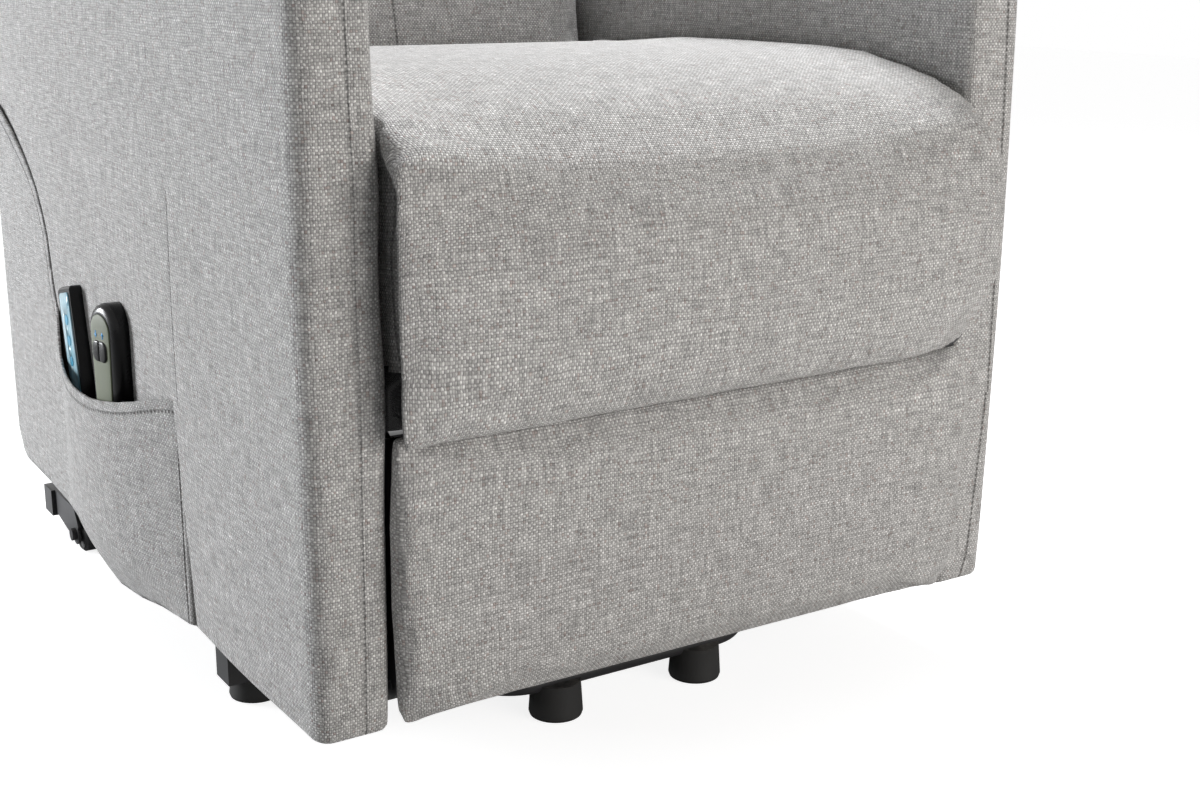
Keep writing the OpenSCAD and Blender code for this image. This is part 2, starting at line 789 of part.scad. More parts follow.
module lift_handset()
  color([0.06, 0.06, 0.07])
    on_handset()
      difference() {
        intersection() {
          translate([-handset_t, 0, 0])
            rotate([90, 0, 90])
              linear_extrude(handset_t) {
                translate([0, handset_z + handset_len - handset_w / 2]) circle(handset_w / 2);
                translate([-handset_w / 2 + 4, handset_z]) square([handset_w - 8, handset_len - handset_w / 2]);
                translate([-handset_w / 2, handset_z + 4]) square([handset_w, handset_len - handset_w / 2 - 4]);
              }
          translate([0, handset_w / 2, 0])
            rotate([90, 0, 0])
              linear_extrude(handset_w)
                round_rect([-handset_t, handset_z], [0, handset_z + handset_len], 8);
        }
        translate([-handset_t - 1, -rocker_w / 2 - 0.5, rocker_z - rocker_h / 2 - 0.5])
          cube([8, rocker_w + 1, rocker_h + 1]);
        translate([rocker_centre, 0, rocker_z - rocker_h / 2 - 3])
          cylinder(r = rocker_swing_r + pin_play, h = rocker_h + 6);
      }

// The two-way key of the lift handset, rocking sideways on an upright pin
module lift_rocker()
  color([0.03, 0.03, 0.03])
    on_handset() {
      translate([-handset_t - 2.2, -rocker_w / 2, rocker_z - rocker_h / 2])
        cube([6, rocker_w, rocker_h]);
      translate([rocker_centre, 0, rocker_z - rocker_h / 2 - 2.8])
        cylinder(r = rocker_swing_r, h = rocker_h + 5.6);
    }

massage_y = 514;
massage_lean = 12;
button_r = 5;
button_up = [74, 94, 114];

// Draws on the massage handset, leaning to the rear in its pocket
module on_massage()
  translate([handset_x, arm_front + massage_y, pocket_floor + 4])
    rotate([-massage_lean, 0, 0])
      children();

module massage_handset()
  color([0.07, 0.07, 0.08])
    on_massage()
      difference() {
        intersection() {
          translate([-massage_t, 0, 0])
            rotate([90, 0, 90])
              linear_extrude(massage_t)
                round_rect([-massage_w / 2, 0], [massage_w / 2, massage_len], 7);
          translate([0, massage_w / 2, 0])
            rotate([90, 0, 0])
              linear_extrude(massage_w)
                round_rect([-massage_t, 0], [0, massage_len], 5);
        }
        for (z = button_up)
          translate([-massage_t - 1, 0, z])
            rotate([0, 90, 0]) cylinder(r = button_r + 0.3, h = 5);
      }

module massage_button(place)
  color([0.2, 0.45, 0.6])
    on_massage()
      translate([-massage_t - 1, 0, button_up[place]])
        rotate([0, 90, 0]) cylinder(r = button_r, h = 3);

module massage_button_top() massage_button(2);

module massage_button_middle() massage_button(1);

module massage_button_bottom() massage_button(0);

// ---------- rear of the seat body ----------

// A low panel that closes the body between the arms, behind the mechanism
module rear_valance()
  color([0.35, 0.34, 0.34])
    block([seam - arm_in, arm_depth - 26, arm_bottom + 6], [arm_in - seam, arm_depth - 14, valance_top]);

supply_w = 150;
supply_d = 40;
supply_h = 70;
supply_y = rear_member[0] + member;
supply_top = rear_member[1] + member - 7;

// The mains adapter that hangs from the rear member, with its inlet socket
module power_supply()
  color([0.08, 0.08, 0.08])
    difference() {
      block([-supply_w / 2, supply_y, supply_top - supply_h], [supply_w / 2, supply_y + supply_d, supply_top]);
      block([supply_w / 2 - 40, supply_y + 10, supply_top - supply_h - 1],
            [supply_w / 2 - 12, supply_y + 30, supply_top - supply_h + 15]);
    }

// ---------- back ----------

bracket_plane = inner_link;
upright_v = [back_cushion_thick + 8, back_cushion_thick + back_shell_depth - back_shell_wall - seam];
upright_s = [-back_drop + 12, back_rise - 16];

// A profile drawn in the leaning back's own axes, as a slab from x0 to x1
module back_slab(x0, x1)
  translate([x0, arm_front + back_origin[0], back_origin[1]])
    rotate([-back_lean, 0, 0])
      rotate([90, 0, 90])
        linear_extrude(x1 - x0)
          children();

// The back's steel bracket: hinge eye, lever for the recline rod and arm to the upright
module back_bracket()
  color([0.12, 0.12, 0.13]) {
    slab(bracket_plane - foot_link_t, bracket_plane)
      difference() {
        union() {
          bar_2d(back_pin, rod_rear_pin, 20);
          bar_2d(back_pin, on_back(upright_v[0] + 20, -124), 28);
          hole_2d(back_pin, 17);
          bar_2d(on_back(upright_v[0] + 20, -124), on_back(upright_v[0] + 20, 60), 34);
        }
        hole_2d(back_pin, lift_pin_r + pin_play);
      }
    cross_bar(rod_rear_pin, foot_pin_r, rod_out - foot_link_t - 2, bracket_plane - foot_link_t);
  }

module back_bracket_left() mirror([1, 0, 0]) back_bracket();

module back_bracket_right() back_bracket();

module back_uprights()
  color([0.76, 0.62, 0.44])
    both_sides()
      back_slab(bracket_plane - foot_link_t - upright_w, bracket_plane - foot_link_t)
        translate([upright_v[0], upright_s[0]])
          square([upright_v[1] - upright_v[0], upright_s[1] - upright_s[0]]);

rail_s = [upright_s[0] + 40, 170, upright_s[1] - 50];

module back_rails()
  color([0.8, 0.67, 0.48])
    for (s = rail_s)
      back_slab(-(bracket_plane - foot_link_t - upright_w), bracket_plane - foot_link_t - upright_w)
        translate([upright_v[0], s]) square([24, 50]);

module back_springs()
  color([0.5, 0.5, 0.52])
    for (i = [-1.5 : 1 : 1.5])
      translate([0, arm_front + back_origin[0], back_origin[1]])
        rotate([-back_lean, 0, 0])
          translate([i * 100, upright_v[0], rail_s[0] + 25])
            rotate([90, -90, 0])
              linear_extrude(spring_wire)
                zigzag_2d(floor((rail_s[2] - rail_s[0]) / spring_pitch) + 1, spring_pitch, spring_reach,
                          spring_wire);

// The upholstered rear shell: a tray that closes the back's rear, sides, top and bottom
module back_shell()
  color([0.66, 0.64, 0.62]) {
    v0 = back_cushion_thick + seam;
    v1 = back_cushion_thick + back_shell_depth;
    difference() {
      back_slab(-back_half, back_half)
        round_rect([v0, -back_drop], [v1, back_rise], 12);
      back_slab(-back_half + back_shell_wall, back_half - back_shell_wall)
        translate([v0 - 1, -back_drop + back_shell_wall])
          square([v1 - v0 + 1 - back_shell_wall, back_rise + back_drop - 2 * back_shell_wall]);
    }
  }

module pillow(s0, s1, half, r)
  intersection() {
    back_slab(-half, half)
      round_rect([0, s0], [back_cushion_thick, s1], r);
    translate([0, arm_front + back_origin[0], back_origin[1]])
      rotate([-back_lean, 0, 0])
        translate([0, back_cushion_thick, -400])
          linear_extrude(1100)
            round_rect([-half, -back_cushion_thick], [half, 0], 20);
  }

pillow_start = -98;
pillow_2 = pillow_start + lower_pillow;
pillow_3 = pillow_2 + middle_pillow;

module lower_back_cushion()
  color(fabric_grey)
    pillow(pillow_start, pillow_2 - seam, back_half, 22);

module middle_back_cushion()
  color(fabric_grey)
    pillow(pillow_2, pillow_3 - seam, back_half, 30);

module headrest_cushion()
  color(fabric_grey)
    pillow(pillow_3, back_rise, back_half, 34);

// Vibration motors strapped between the back's springs and the middle of the shell
module back_vibration_motors()
  color([0.1, 0.1, 0.1])
    for (x = [-50, 50], s = [10, 250])
      translate([x, arm_front + back_origin[0], back_origin[1]])
        rotate([-back_lean, 0, 0])
          translate([0, upright_v[0], s])
            rotate([-90, 0, 0])
              cylinder(r = motor_pod_r, h = motor_pod_h);

// ---------- foot rest ----------

foot_hole = foot_pin_r + pin_play;

// The first inner links: a long bar on the foot pin, with an ear for the recline rod
module foot_link_inner()
  color([0.14, 0.14, 0.15])
    both_sides() {
      slab(inner_link - foot_link_t, inner_link)
        difference() {
          union() {
            bar_2d(foot_pin, inner_end, foot_link_w);
            hole_2d(rod_front_pin, foot_pin_r + 3.5);
          }
          hole_2d(foot_pin, foot_hole);
        }
      cross_bar(first_cross, foot_pin_r, inner_link, outer_link + 1.5);
      cross_bar(inner_end, foot_pin_r, inner_link, outer_link + 1.5);
      cross_bar(rod_front_pin, foot_pin_r, rod_out - foot_link_t - 1.5, inner_link - foot_link_t);
    }

// The first outer links, guided by a pin in the side plate's slot
module foot_link_outer()
  color([0.14, 0.14, 0.15])
    both_sides() {
      slab(outer_link - foot_link_t, outer_link)
        difference() {
          bar_2d(slot_pin, outer_end, foot_link_w);
          hole_2d(first_cross, foot_hole);
        }
      cross_bar(slot_pin, foot_pin_r, outer_link, plate_out + 1);
      cross_bar(outer_end, foot_pin_r, inner_link - foot_link_t - 1.5, outer_link - foot_link_t);
    }

bracket_end = second_cross - [0, 64];

// The second inner links, bent into the brackets that carry the foot rest
module foot_link_carrier()
  color([0.14, 0.14, 0.15])
    both_sides() {
      slab(inner_link - foot_link_t, inner_link)
        difference() {
          union() {
            bar_2d(outer_end, second_cross, foot_link_w);
            translate([foot_board_rear, bracket_end[1]])
              square([3, second_cross[1] - bracket_end[1] + 40]);
            translate([foot_board_rear, bracket_end[1]])
              square([second_cross[0] - foot_board_rear, second_cross[1] - bracket_end[1]]);
          }
          hole_2d(outer_end, foot_hole);
        }
      block([foot_board_half - 60, foot_board_rear, bracket_end[1]],
            [inner_link - foot_link_t, foot_board_rear + 3, second_cross[1] + 40]);
      cross_bar(second_cross, foot_pin_r, inner_link, outer_link + 1.5);
    }

// The last outer links, half as long, which hold the carrier square
module foot_link_half()
  color([0.14, 0.14, 0.15])
    both_sides()
      slab(outer_link - foot_link_t, outer_link)
        difference() {
          bar_2d(inner_end, second_cross, foot_link_w);
          hole_2d(inner_end, foot_hole);
          hole_2d(second_cross, foot_pin_r + 0.3);
        }

foot_board_front = 0.8;
foot_board_rear = foot_board_front + foot_board_thick;
foot_board_half = inner_link - foot_link_t - 8;

module foot_board()
  color([0.76, 0.62, 0.44])
    block([-foot_board_half, foot_board_front, foot_panel_bottom + 14],
          [foot_board_half, foot_board_rear, foot_panel_top - 12]);

foot_half = arm_in - 3;

module foot_cushion()
  color(fabric_grey)
    intersection() {
      slab(-foot_half, foot_half)
        polygon([[foot_board_front - seam, foot_panel_bottom + 2], [-8, foot_panel_bottom],
                 [-foot_panel_proud + 3, foot_panel_bottom + 10], [-foot_panel_proud, foot_panel_bottom + 60],
                 [-foot_panel_proud, foot_panel_top - 60], [-foot_panel_proud + 4, foot_panel_top - 12],
                 [-9, foot_panel_top - 2], [foot_board_front - seam, foot_panel_top - 6]]);
      translate([-foot_half, arm_front + 30, 0])
        rotate([90, 0, 0])
          linear_extrude(80)
            round_rect([0, foot_panel_bottom - 1], [2 * foot_half, foot_panel_top + 1], 12);
    }

// The rods between the back's levers and the foot rest links
module recline_rods()
  color([0.14, 0.14, 0.15])
    both_sides()
      slab(rod_out - foot_link_t, rod_out)
        difference() {
          bar_2d(rod_front_pin, rod_rear_pin, 14);
          hole_2d(rod_front_pin, foot_hole);
          hole_2d(rod_rear_pin, foot_pin_r + 1.9);
        }

base_side_rails();
front_cross_tube();
rear_cross_tube();
front_stabiliser();
tube_end_caps();
rubber_feet();
wheel_brackets();
rear_wheel_left();
rear_wheel_right();
lift_pivot_plates();
actuator_foot_clevis();
front_lift_links();
lift_torque_tube();
rear_lift_links();
actuator_motor();
actuator_tube();
actuator_rod();
side_plate_left();
side_plate_right();
front_cross_member();
rear_cross_member();
seat_frame();
seat_springs();
seat_cushion();
seat_vibration_motors();
arm_boards();
arm_left();
arm_right();
arm_pad_left();
arm_pad_right();
arm_spacers();
pocket_left();
pocket_right();
rear_valance();
power_supply();
back_bracket_left();
back_bracket_right();
back_uprights();
back_rails();
back_springs();
back_shell();
lower_back_cushion();
middle_back_cushion();
headrest_cushion();
back_vibration_motors();
foot_link_inner();
foot_link_outer();
foot_link_carrier();
foot_link_half();
foot_board();
foot_cushion();
recline_rods();
lift_handset();
lift_rocker();
massage_handset();
massage_button_top();
massage_button_middle();
massage_button_bottom();
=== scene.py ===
import math
import bmesh
import bpy
import numpy as np
from mathutils import Matrix, Vector


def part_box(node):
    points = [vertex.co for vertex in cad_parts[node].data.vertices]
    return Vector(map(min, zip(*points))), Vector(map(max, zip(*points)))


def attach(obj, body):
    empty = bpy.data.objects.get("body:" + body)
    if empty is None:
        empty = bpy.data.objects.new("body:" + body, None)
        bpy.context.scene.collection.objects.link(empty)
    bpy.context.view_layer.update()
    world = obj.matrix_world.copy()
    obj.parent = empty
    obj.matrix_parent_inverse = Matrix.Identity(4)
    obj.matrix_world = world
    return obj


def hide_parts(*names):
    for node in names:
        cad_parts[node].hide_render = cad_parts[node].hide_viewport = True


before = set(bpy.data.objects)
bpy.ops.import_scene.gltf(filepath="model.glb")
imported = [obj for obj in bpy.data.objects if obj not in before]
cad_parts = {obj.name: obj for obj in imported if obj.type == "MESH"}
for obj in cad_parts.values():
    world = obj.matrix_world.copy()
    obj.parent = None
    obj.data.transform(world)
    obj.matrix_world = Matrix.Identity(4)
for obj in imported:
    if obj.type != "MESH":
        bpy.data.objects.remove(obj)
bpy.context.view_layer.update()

scene = bpy.context.scene

# ---------------------------------------------------------------------------------------------------
# Studio: a pale floor in a white surround, with large soft lamps overhead, to the left and low in
# front. The camera stands ahead of the sitter's right arm and looks a little down at the seat.
# ---------------------------------------------------------------------------------------------------
scene.view_settings.view_transform = "Standard"

optics = bpy.data.cameras.new("studio_camera")
optics.sensor_width = 36.0
optics.lens = 48.896
camera = bpy.data.objects.new("studio_camera", optics)
camera.location = (-0.756772, -1.434690, 0.640889)
camera.rotation_euler = [math.radians(a) for a in (74.80255, -0.46076, -32.81793)]
scene.collection.objects.link(camera)
scene.camera = camera


def add(tree, kind, feeds=None, **settings):
    """A node of that kind, its settings set and its sockets fed with values or other nodes' outputs."""
    made = tree.nodes.new("ShaderNode" + kind)
    for name, value in settings.items():
        setattr(made, name, value)
    for socket, value in (feeds or {}).items():
        if isinstance(value, bpy.types.NodeSocket):
            tree.links.new(value, made.inputs[socket])
        else:
            made.inputs[socket].default_value = value
    return made


def calc(tree, operation, *values, clamp=False):
    """The result of a Math node on two or three values."""
    return add(tree, "Math", dict(enumerate(values)), operation=operation, use_clamp=clamp).outputs[0]


def tint(tree, factor, a, b, how="MIX"):
    """Two colours mixed by a factor."""
    return add(tree, "Mix", {0: factor, 6: a, 7: b}, data_type="RGBA", blend_type=how).outputs[2]


def noise(tree, place, scale, detail, **others):
    """The value of a noise at a place."""
    feeds = {"Vector": place, "Scale": scale, "Detail": detail}
    return add(tree, "TexNoise", {**feeds, **others}).outputs[0]


def between(tree, value, low, high, to_low=0.0, to_high=1.0):
    """A value spread smoothly from one range to another."""
    return add(tree, "MapRange", {0: value, 1: low, 2: high, 3: to_low, 4: to_high},
               interpolation_type="SMOOTHSTEP").outputs[0]


def new_finish(name, **sockets):
    """A material with one Principled shader; underscores in the socket names stand for spaces."""
    finish = bpy.data.materials.new(name)
    finish.use_nodes = True
    shader = finish.node_tree.nodes["Principled BSDF"]
    for socket, value in sockets.items():
        shader.inputs[socket.replace("_", " ")].default_value = value
    return finish, finish.node_tree, shader


def relieve(tree, shader, height, distance):
    """Gives a finish a fine relief, so many metres deep."""
    bump = add(tree, "Bump", {"Height": height, "Strength": 1.0, "Distance": distance})
    tree.links.new(bump.outputs[0], shader.inputs["Normal"])


surround = bpy.data.worlds.new("studio_surround")
surround.use_nodes = True
scene.world = surround
sky = surround.node_tree
rays = add(sky, "LightPath")
seen = calc(sky, "MAXIMUM", rays.outputs["Is Camera Ray"], rays.outputs["Is Glossy Ray"])
seen = calc(sky, "MAXIMUM", seen, rays.outputs["Is Transmission Ray"])
glow = sky.nodes["Background"]
fill_light = 0.13                                     # what the surround gives to the chair itself
sky.links.new(calc(sky, "MULTIPLY_ADD", seen, 1.0 - fill_light, fill_light), glow.inputs["Strength"])
glow.inputs["Color"].default_value = (1.0, 1.0, 1.0, 1.0)

slab = bmesh.new()
bmesh.ops.create_grid(slab, x_segments=1, y_segments=1, size=9.0)
floor_mesh = bpy.data.meshes.new("studio_floor")
slab.to_mesh(floor_mesh)
slab.free()
floor = bpy.data.objects.new("studio_floor", floor_mesh)
scene.collection.objects.link(floor)
pale, tree, shader = new_finish("pale floor", Base_Color=(0.45, 0.45, 0.45, 1), Roughness=0.9)
shader.inputs["Emission Color"].default_value = (1, 1, 1, 1)
rays = add(tree, "LightPath")
pale_seen = calc(tree, "MULTIPLY", rays.outputs["Is Camera Ray"], 0.85)
tree.links.new(pale_seen, shader.inputs["Emission Strength"])
floor_mesh.materials.append(pale)

for name, size, watts, colour, at, aim in (
        ("overhead_lamp", 1.0, 104.0, (0.975, 0.985, 1.0), (0.8, 0.72, 2.6), (0.0, -0.1, 0.5)),
        ("left_lamp", 1.6, 295.0, (0.955, 0.975, 1.0), (-3.6, 3.4, 0.9), (-0.34, 0.05, 0.45)),
        ("front_lamp", 1.6, 43.0, (1.0, 0.965, 0.925), (0.75, -2.45, 0.5), (0.0, -0.4, 0.35))):
    lamp = bpy.data.lights.new(name, "AREA")
    lamp.shape = "SQUARE"
    lamp.size = size
    lamp.energy = watts
    lamp.color = colour
    stand = bpy.data.objects.new(name, lamp)
    stand.location = at
    stand.rotation_euler = (Vector(aim) - Vector(at)).to_track_quat("-Z", "Y").to_euler()
    scene.collection.objects.link(stand)

# ---------------------------------------------------------------------------------------------------
# Lift base: welded square steel tube with a round anti-tip bar, plates and clevises. All of it is
# satin black powder coat with a fine orange peel, rubbed a little at the edges and dusty on top.
# ---------------------------------------------------------------------------------------------------


def new_group(name, inputs, outputs):
    """A node group with named sockets, and its two end nodes."""
    group = bpy.data.node_groups.new(name, "ShaderNodeTree")
    for label, kind, value in inputs:
        socket = group.interface.new_socket(name=label, in_out="INPUT", socket_type="NodeSocket" + kind)
        if value is not None:
            socket.default_value = value
    for label, kind in outputs:
        group.interface.new_socket(name=label, in_out="OUTPUT", socket_type="NodeSocket" + kind)
    return group, group.nodes.new("NodeGroupInput"), group.nodes.new("NodeGroupOutput")


def use(tree, group, feeds=None):
    """A group placed in a material, with its own values."""
    return add(tree, "Group", feeds, node_tree=group)


rubbed, rub_in, rub_out = new_group("rubbed edges", [("Width", "Float", 0.0012), ("Amount", "Float", 0.5)],
                                    [("Mask", "Float")])
corner = add(rubbed, "Bevel", {"Radius": rub_in.outputs["Width"]}, samples=4)
true_normal = add(rubbed, "NewGeometry").outputs["Normal"]
bend = calc(rubbed, "SUBTRACT", 1.0, add(rubbed, "VectorMath", {0: corner.outputs[0], 1: true_normal},
                                         operation="DOT_PRODUCT").outputs["Value"])
patchy = noise(rubbed, add(rubbed, "TexCoord").outputs["Object"], 60.0, 4.0)
worn = calc(rubbed, "MULTIPLY", between(rubbed, bend, 0.02, 0.16), between(rubbed, patchy, 0.42, 0.66))
rubbed.links.new(calc(rubbed, "MULTIPLY", worn, rub_in.outputs["Amount"]), rub_out.inputs["Mask"])

dusted, dust_in, dust_out = new_group("settled dust", [("Amount", "Float", 0.3)], [("Mask", "Float")])
facing = add(dusted, "SeparateXYZ", {0: add(dusted, "NewGeometry").outputs["Normal"]}).outputs[2]
motes = noise(dusted, add(dusted, "TexCoord").outputs["Object"], 35.0, 6.0, Roughness=0.7)
settled = calc(dusted, "MULTIPLY", between(dusted, facing, 0.2, 1.0), between(dusted, motes, 0.3, 0.75))
dusted.links.new(calc(dusted, "MULTIPLY", settled, dust_in.outputs["Amount"]), dust_out.inputs["Mask"])


def coated(name, colour, rough, grain, depth, bare, wear=0.5, dust=0.3, mirror=0.5):
    """A painted or moulded finish: fine grain, bare colour at the rubbed edges, and dust."""
    finish, tree, shader = new_finish(name, Specular_IOR_Level=mirror)
    place = add(tree, "TexCoord").outputs["Object"]
    cloudy = noise(tree, place, 18.0, 5.0)
    fine = noise(tree, place, grain, 2.0)
    base = tint(tree, between(tree, cloudy, 0.3, 0.7), [c * 0.86 for c in colour[:3]] + [1],
                [min(c * 1.14, 1) for c in colour[:3]] + [1])
    edge = use(tree, rubbed, {"Amount": wear}).outputs["Mask"]
    base = tint(tree, edge, base, bare)
    film = use(tree, dusted, {"Amount": dust}).outputs["Mask"]
    base = tint(tree, film, base, (0.33, 0.32, 0.3, 1))
    tree.links.new(base, shader.inputs["Base Color"])
    shine = calc(tree, "ADD", between(tree, cloudy, 0.25, 0.75, rough - 0.06, rough + 0.07),
                 calc(tree, "MULTIPLY", film, 0.35))
    tree.links.new(shine, shader.inputs["Roughness"])
    relieve(tree, shader, fine, depth)
    return finish


def dress(finish, *names):
    """Gives CAD nodes their finish."""
    for name in names:
        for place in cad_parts[name].material_slots:
            place.material = finish


powder_coat = coated("satin black powder coat", (0.022, 0.022, 0.024, 1), 0.42, 900.0, 0.00006,
                     (0.1, 0.1, 0.11, 1))
dress(powder_coat, "base_side_rails", "front_cross_tube", "rear_cross_tube", "front_stabiliser",
      "wheel_brackets", "lift_pivot_plates", "actuator_foot_clevis", "front_cross_member",
      "rear_cross_member")

# ---------------------------------------------------------------------------------------------------
# Tube plugs, transport wheels and vibration motor pods: black moulded plastic with a fine spark
# texture. The plugs are pressed into the tube ends, and the wheels turn on the bracket's axle.
# ---------------------------------------------------------------------------------------------------
moulded = coated("black moulded plastic", (0.02, 0.02, 0.021, 1), 0.55, 1400.0, 0.00005,
                 (0.06, 0.06, 0.06, 1), wear=0.25)
dress(moulded, "tube_end_caps", "rear_wheel_left", "rear_wheel_right", "seat_vibration_motors",
      "back_vibration_motors", "power_supply")

# ---------------------------------------------------------------------------------------------------
# Rubber feet: black cups pushed onto the anti-tip bar and screwed under the front cross tube. The
# rubber is matt, with a faint mould bloom and grit near the floor.
# ---------------------------------------------------------------------------------------------------
rubber = coated("matt black rubber", (0.014, 0.014, 0.014, 1), 0.8, 500.0, 0.0001,
                (0.05, 0.05, 0.048, 1), dust=0.45)
dress(rubber, "rubber_feet")

# ---------------------------------------------------------------------------------------------------
# Links and side plates: stamped steel, satin black, with brighter rubbed rims where the links pass
# each other. Pins are welded to the plates, and the links are bored to run on them.
# ---------------------------------------------------------------------------------------------------
link_paint = coated("satin black links", (0.034, 0.034, 0.037, 1), 0.36, 700.0, 0.00005,
                    (0.2, 0.2, 0.21, 1), wear=0.8)
dress(link_paint, "front_lift_links", "lift_torque_tube", "rear_lift_links", "side_plate_left",
      "side_plate_right", "back_bracket_left", "back_bracket_right", "foot_link_inner", "foot_link_outer",
      "foot_link_carrier", "foot_link_half", "recline_rods")

# ---------------------------------------------------------------------------------------------------
# Springs, spacers and the actuator's rod: zinc plated steel, drawn or turned, with the faint yellow
# and blue cast of passivation.
# ---------------------------------------------------------------------------------------------------
plated, tree, shader = new_finish("zinc plated steel", Metallic=1.0, Anisotropic=0.3)
place = add(tree, "TexCoord").outputs["Object"]
cast = noise(tree, place, 24.0, 3.0)
tree.links.new(tint(tree, between(tree, cast, 0.35, 0.65), (0.5, 0.53, 0.57, 1), (0.6, 0.58, 0.5, 1)),
               shader.inputs["Base Color"])
grain = noise(tree, place, 260.0, 5.0)
tree.links.new(between(tree, grain, 0.3, 0.7, 0.24, 0.42), shader.inputs["Roughness"])
drawn = noise(tree, add(tree, "Mapping", {0: place, 3: (1.0, 9.0, 9.0)}).outputs[0], 220.0, 2.0)
relieve(tree, shader, drawn, 0.00003)
dress(plated, "seat_springs", "back_springs", "arm_spacers", "actuator_rod")

# ---------------------------------------------------------------------------------------------------
# Lift actuator: a moulded gear housing and motor can on a plain outer tube. Grey-black glass-filled
# plastic, a shade lighter than the frame, with a coarser spark texture.
# ---------------------------------------------------------------------------------------------------
housing = coated("actuator housing", (0.045, 0.046, 0.05, 1), 0.5, 800.0, 0.00009,
                 (0.12, 0.12, 0.12, 1), wear=0.3)
dress(housing, "actuator_motor", "actuator_tube")

# ---------------------------------------------------------------------------------------------------
# Timber: birch plywood boards and rails, raw, with pale plies at the cut edges and a quiet grain
# along the board. Screwed together and to the steel plates.
# ---------------------------------------------------------------------------------------------------
plywood, tree, shader = new_finish("raw birch plywood")
place = add(tree, "TexCoord").outputs["Object"]
stretched = add(tree, "Mapping", {0: place, 3: (30.0, 1.5, 12.0)}).outputs[0]
figure = noise(tree, stretched, 3.0, 6.0, Distortion=0.6)
fibre = noise(tree, add(tree, "Mapping", {0: place, 3: (90.0, 3.0, 90.0)}).outputs[0], 8.0, 3.0)
ply_pair = 0.0026                                     # a dark and a pale ply together
across = add(tree, "SeparateXYZ", {0: place})
plies = calc(tree, "SINE", calc(tree, "MULTIPLY", across.outputs[0], 2 * math.pi / ply_pair))
shade = tint(tree, between(tree, figure, 0.3, 0.7), (0.44, 0.29, 0.155, 1), (0.62, 0.46, 0.28, 1))
shade = tint(tree, calc(tree, "MULTIPLY", between(tree, plies, 0.0, 1.0), 0.25), shade, (0.3, 0.18, 0.09, 1))
tree.links.new(shade, shader.inputs["Base Color"])
tree.links.new(between(tree, fibre, 0.2, 0.8, 0.55, 0.75), shader.inputs["Roughness"])
relieve(tree, shader, fibre, 0.0002)
dress(plywood, "seat_frame", "arm_boards", "back_uprights", "back_rails", "foot_board")

# ---------------------------------------------------------------------------------------------------
# Seat cushion: a foam block in a sewn cover of plain-woven melange cloth, crowned in the middle. The
# top panel rolls over the front and hangs there as a stuffed flap, ahead of set-in boxing panels.
# ---------------------------------------------------------------------------------------------------
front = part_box("arm_left")[0][1]                      # the plane of the arm fronts
thread = 0.0019

weave, weave_in, weave_out = new_group(
    "woven cloth",
    [("Place", "Vector", None), ("Pitch", "Float", thread), ("Warp", "Color", (0.52, 0.51, 0.5, 1)),
     ("Weft", "Color", (0.73, 0.72, 0.71, 1)), ("Fleck", "Color", (0.44, 0.36, 0.335, 1)),
     ("Gap", "Float", 0.56), ("Streak", "Float", 1.1)],
    [("Color", "Color"), ("Height", "Float")])


def shake(scale, detail, reach):
    """A small offset of the threads, which changes over the cloth."""
    cloud = add(weave, "TexNoise", {"Vector": weave_in.outputs["Place"], "Scale": scale, "Detail": detail})
    centred = add(weave, "VectorMath", {0: cloud.outputs["Color"], 1: (0.5, 0.5, 0.5)}, operation="SUBTRACT")
    return add(weave, "VectorMath", {0: centred.outputs[0], "Scale": reach}, operation="SCALE").outputs[0]


# the threads drift in long waves, and each is a little uneven
threads = weave_in.outputs["Place"]
for offset in (shake(45.0, 2.0, 0.0028), shake(260.0, 1.0, 0.0016)):
    threads = add(weave, "VectorMath", {0: threads, 1: offset}, operation="ADD").outputs[0]
split = add(weave, "SeparateXYZ", {0: threads})
warp_at = calc(weave, "DIVIDE", split.outputs[0], weave_in.outputs["Pitch"])
weft_at = calc(weave, "DIVIDE", split.outputs[1], calc(weave, "MULTIPLY", weave_in.outputs["Pitch"], 1.1))
warp_no, weft_no = calc(weave, "FLOOR", warp_at), calc(weave, "FLOOR", weft_at)
over = calc(weave, "PINGPONG", calc(weave, "ADD", warp_no, weft_no), 1.0)


def hill(across, along):
    """The rounded back of a thread where it passes over another."""
    parts = []
    for at, turn in ((across, math.pi), (along, 0.8 * math.pi)):
        from_middle = calc(weave, "SUBTRACT", calc(weave, "FRACT", at), 0.5)
        parts.append(calc(weave, "COSINE", calc(weave, "MULTIPLY", from_middle, turn)))
    return calc(weave, "MULTIPLY", *parts)


def choose(a, b):
    """One value where the warp lies on top, the other where the weft does."""
    return add(weave, "Mix", {0: over, 2: a, 3: b}, data_type="FLOAT").outputs[0]


def by_twos(at):
    """The number of a pair of threads."""
    return calc(weave, "FLOOR", calc(weave, "DIVIDE", at, 2.0))


height = choose(calc(weave, "MULTIPLY", hill(warp_at, weft_at), 0.78), hill(weft_at, warp_at))
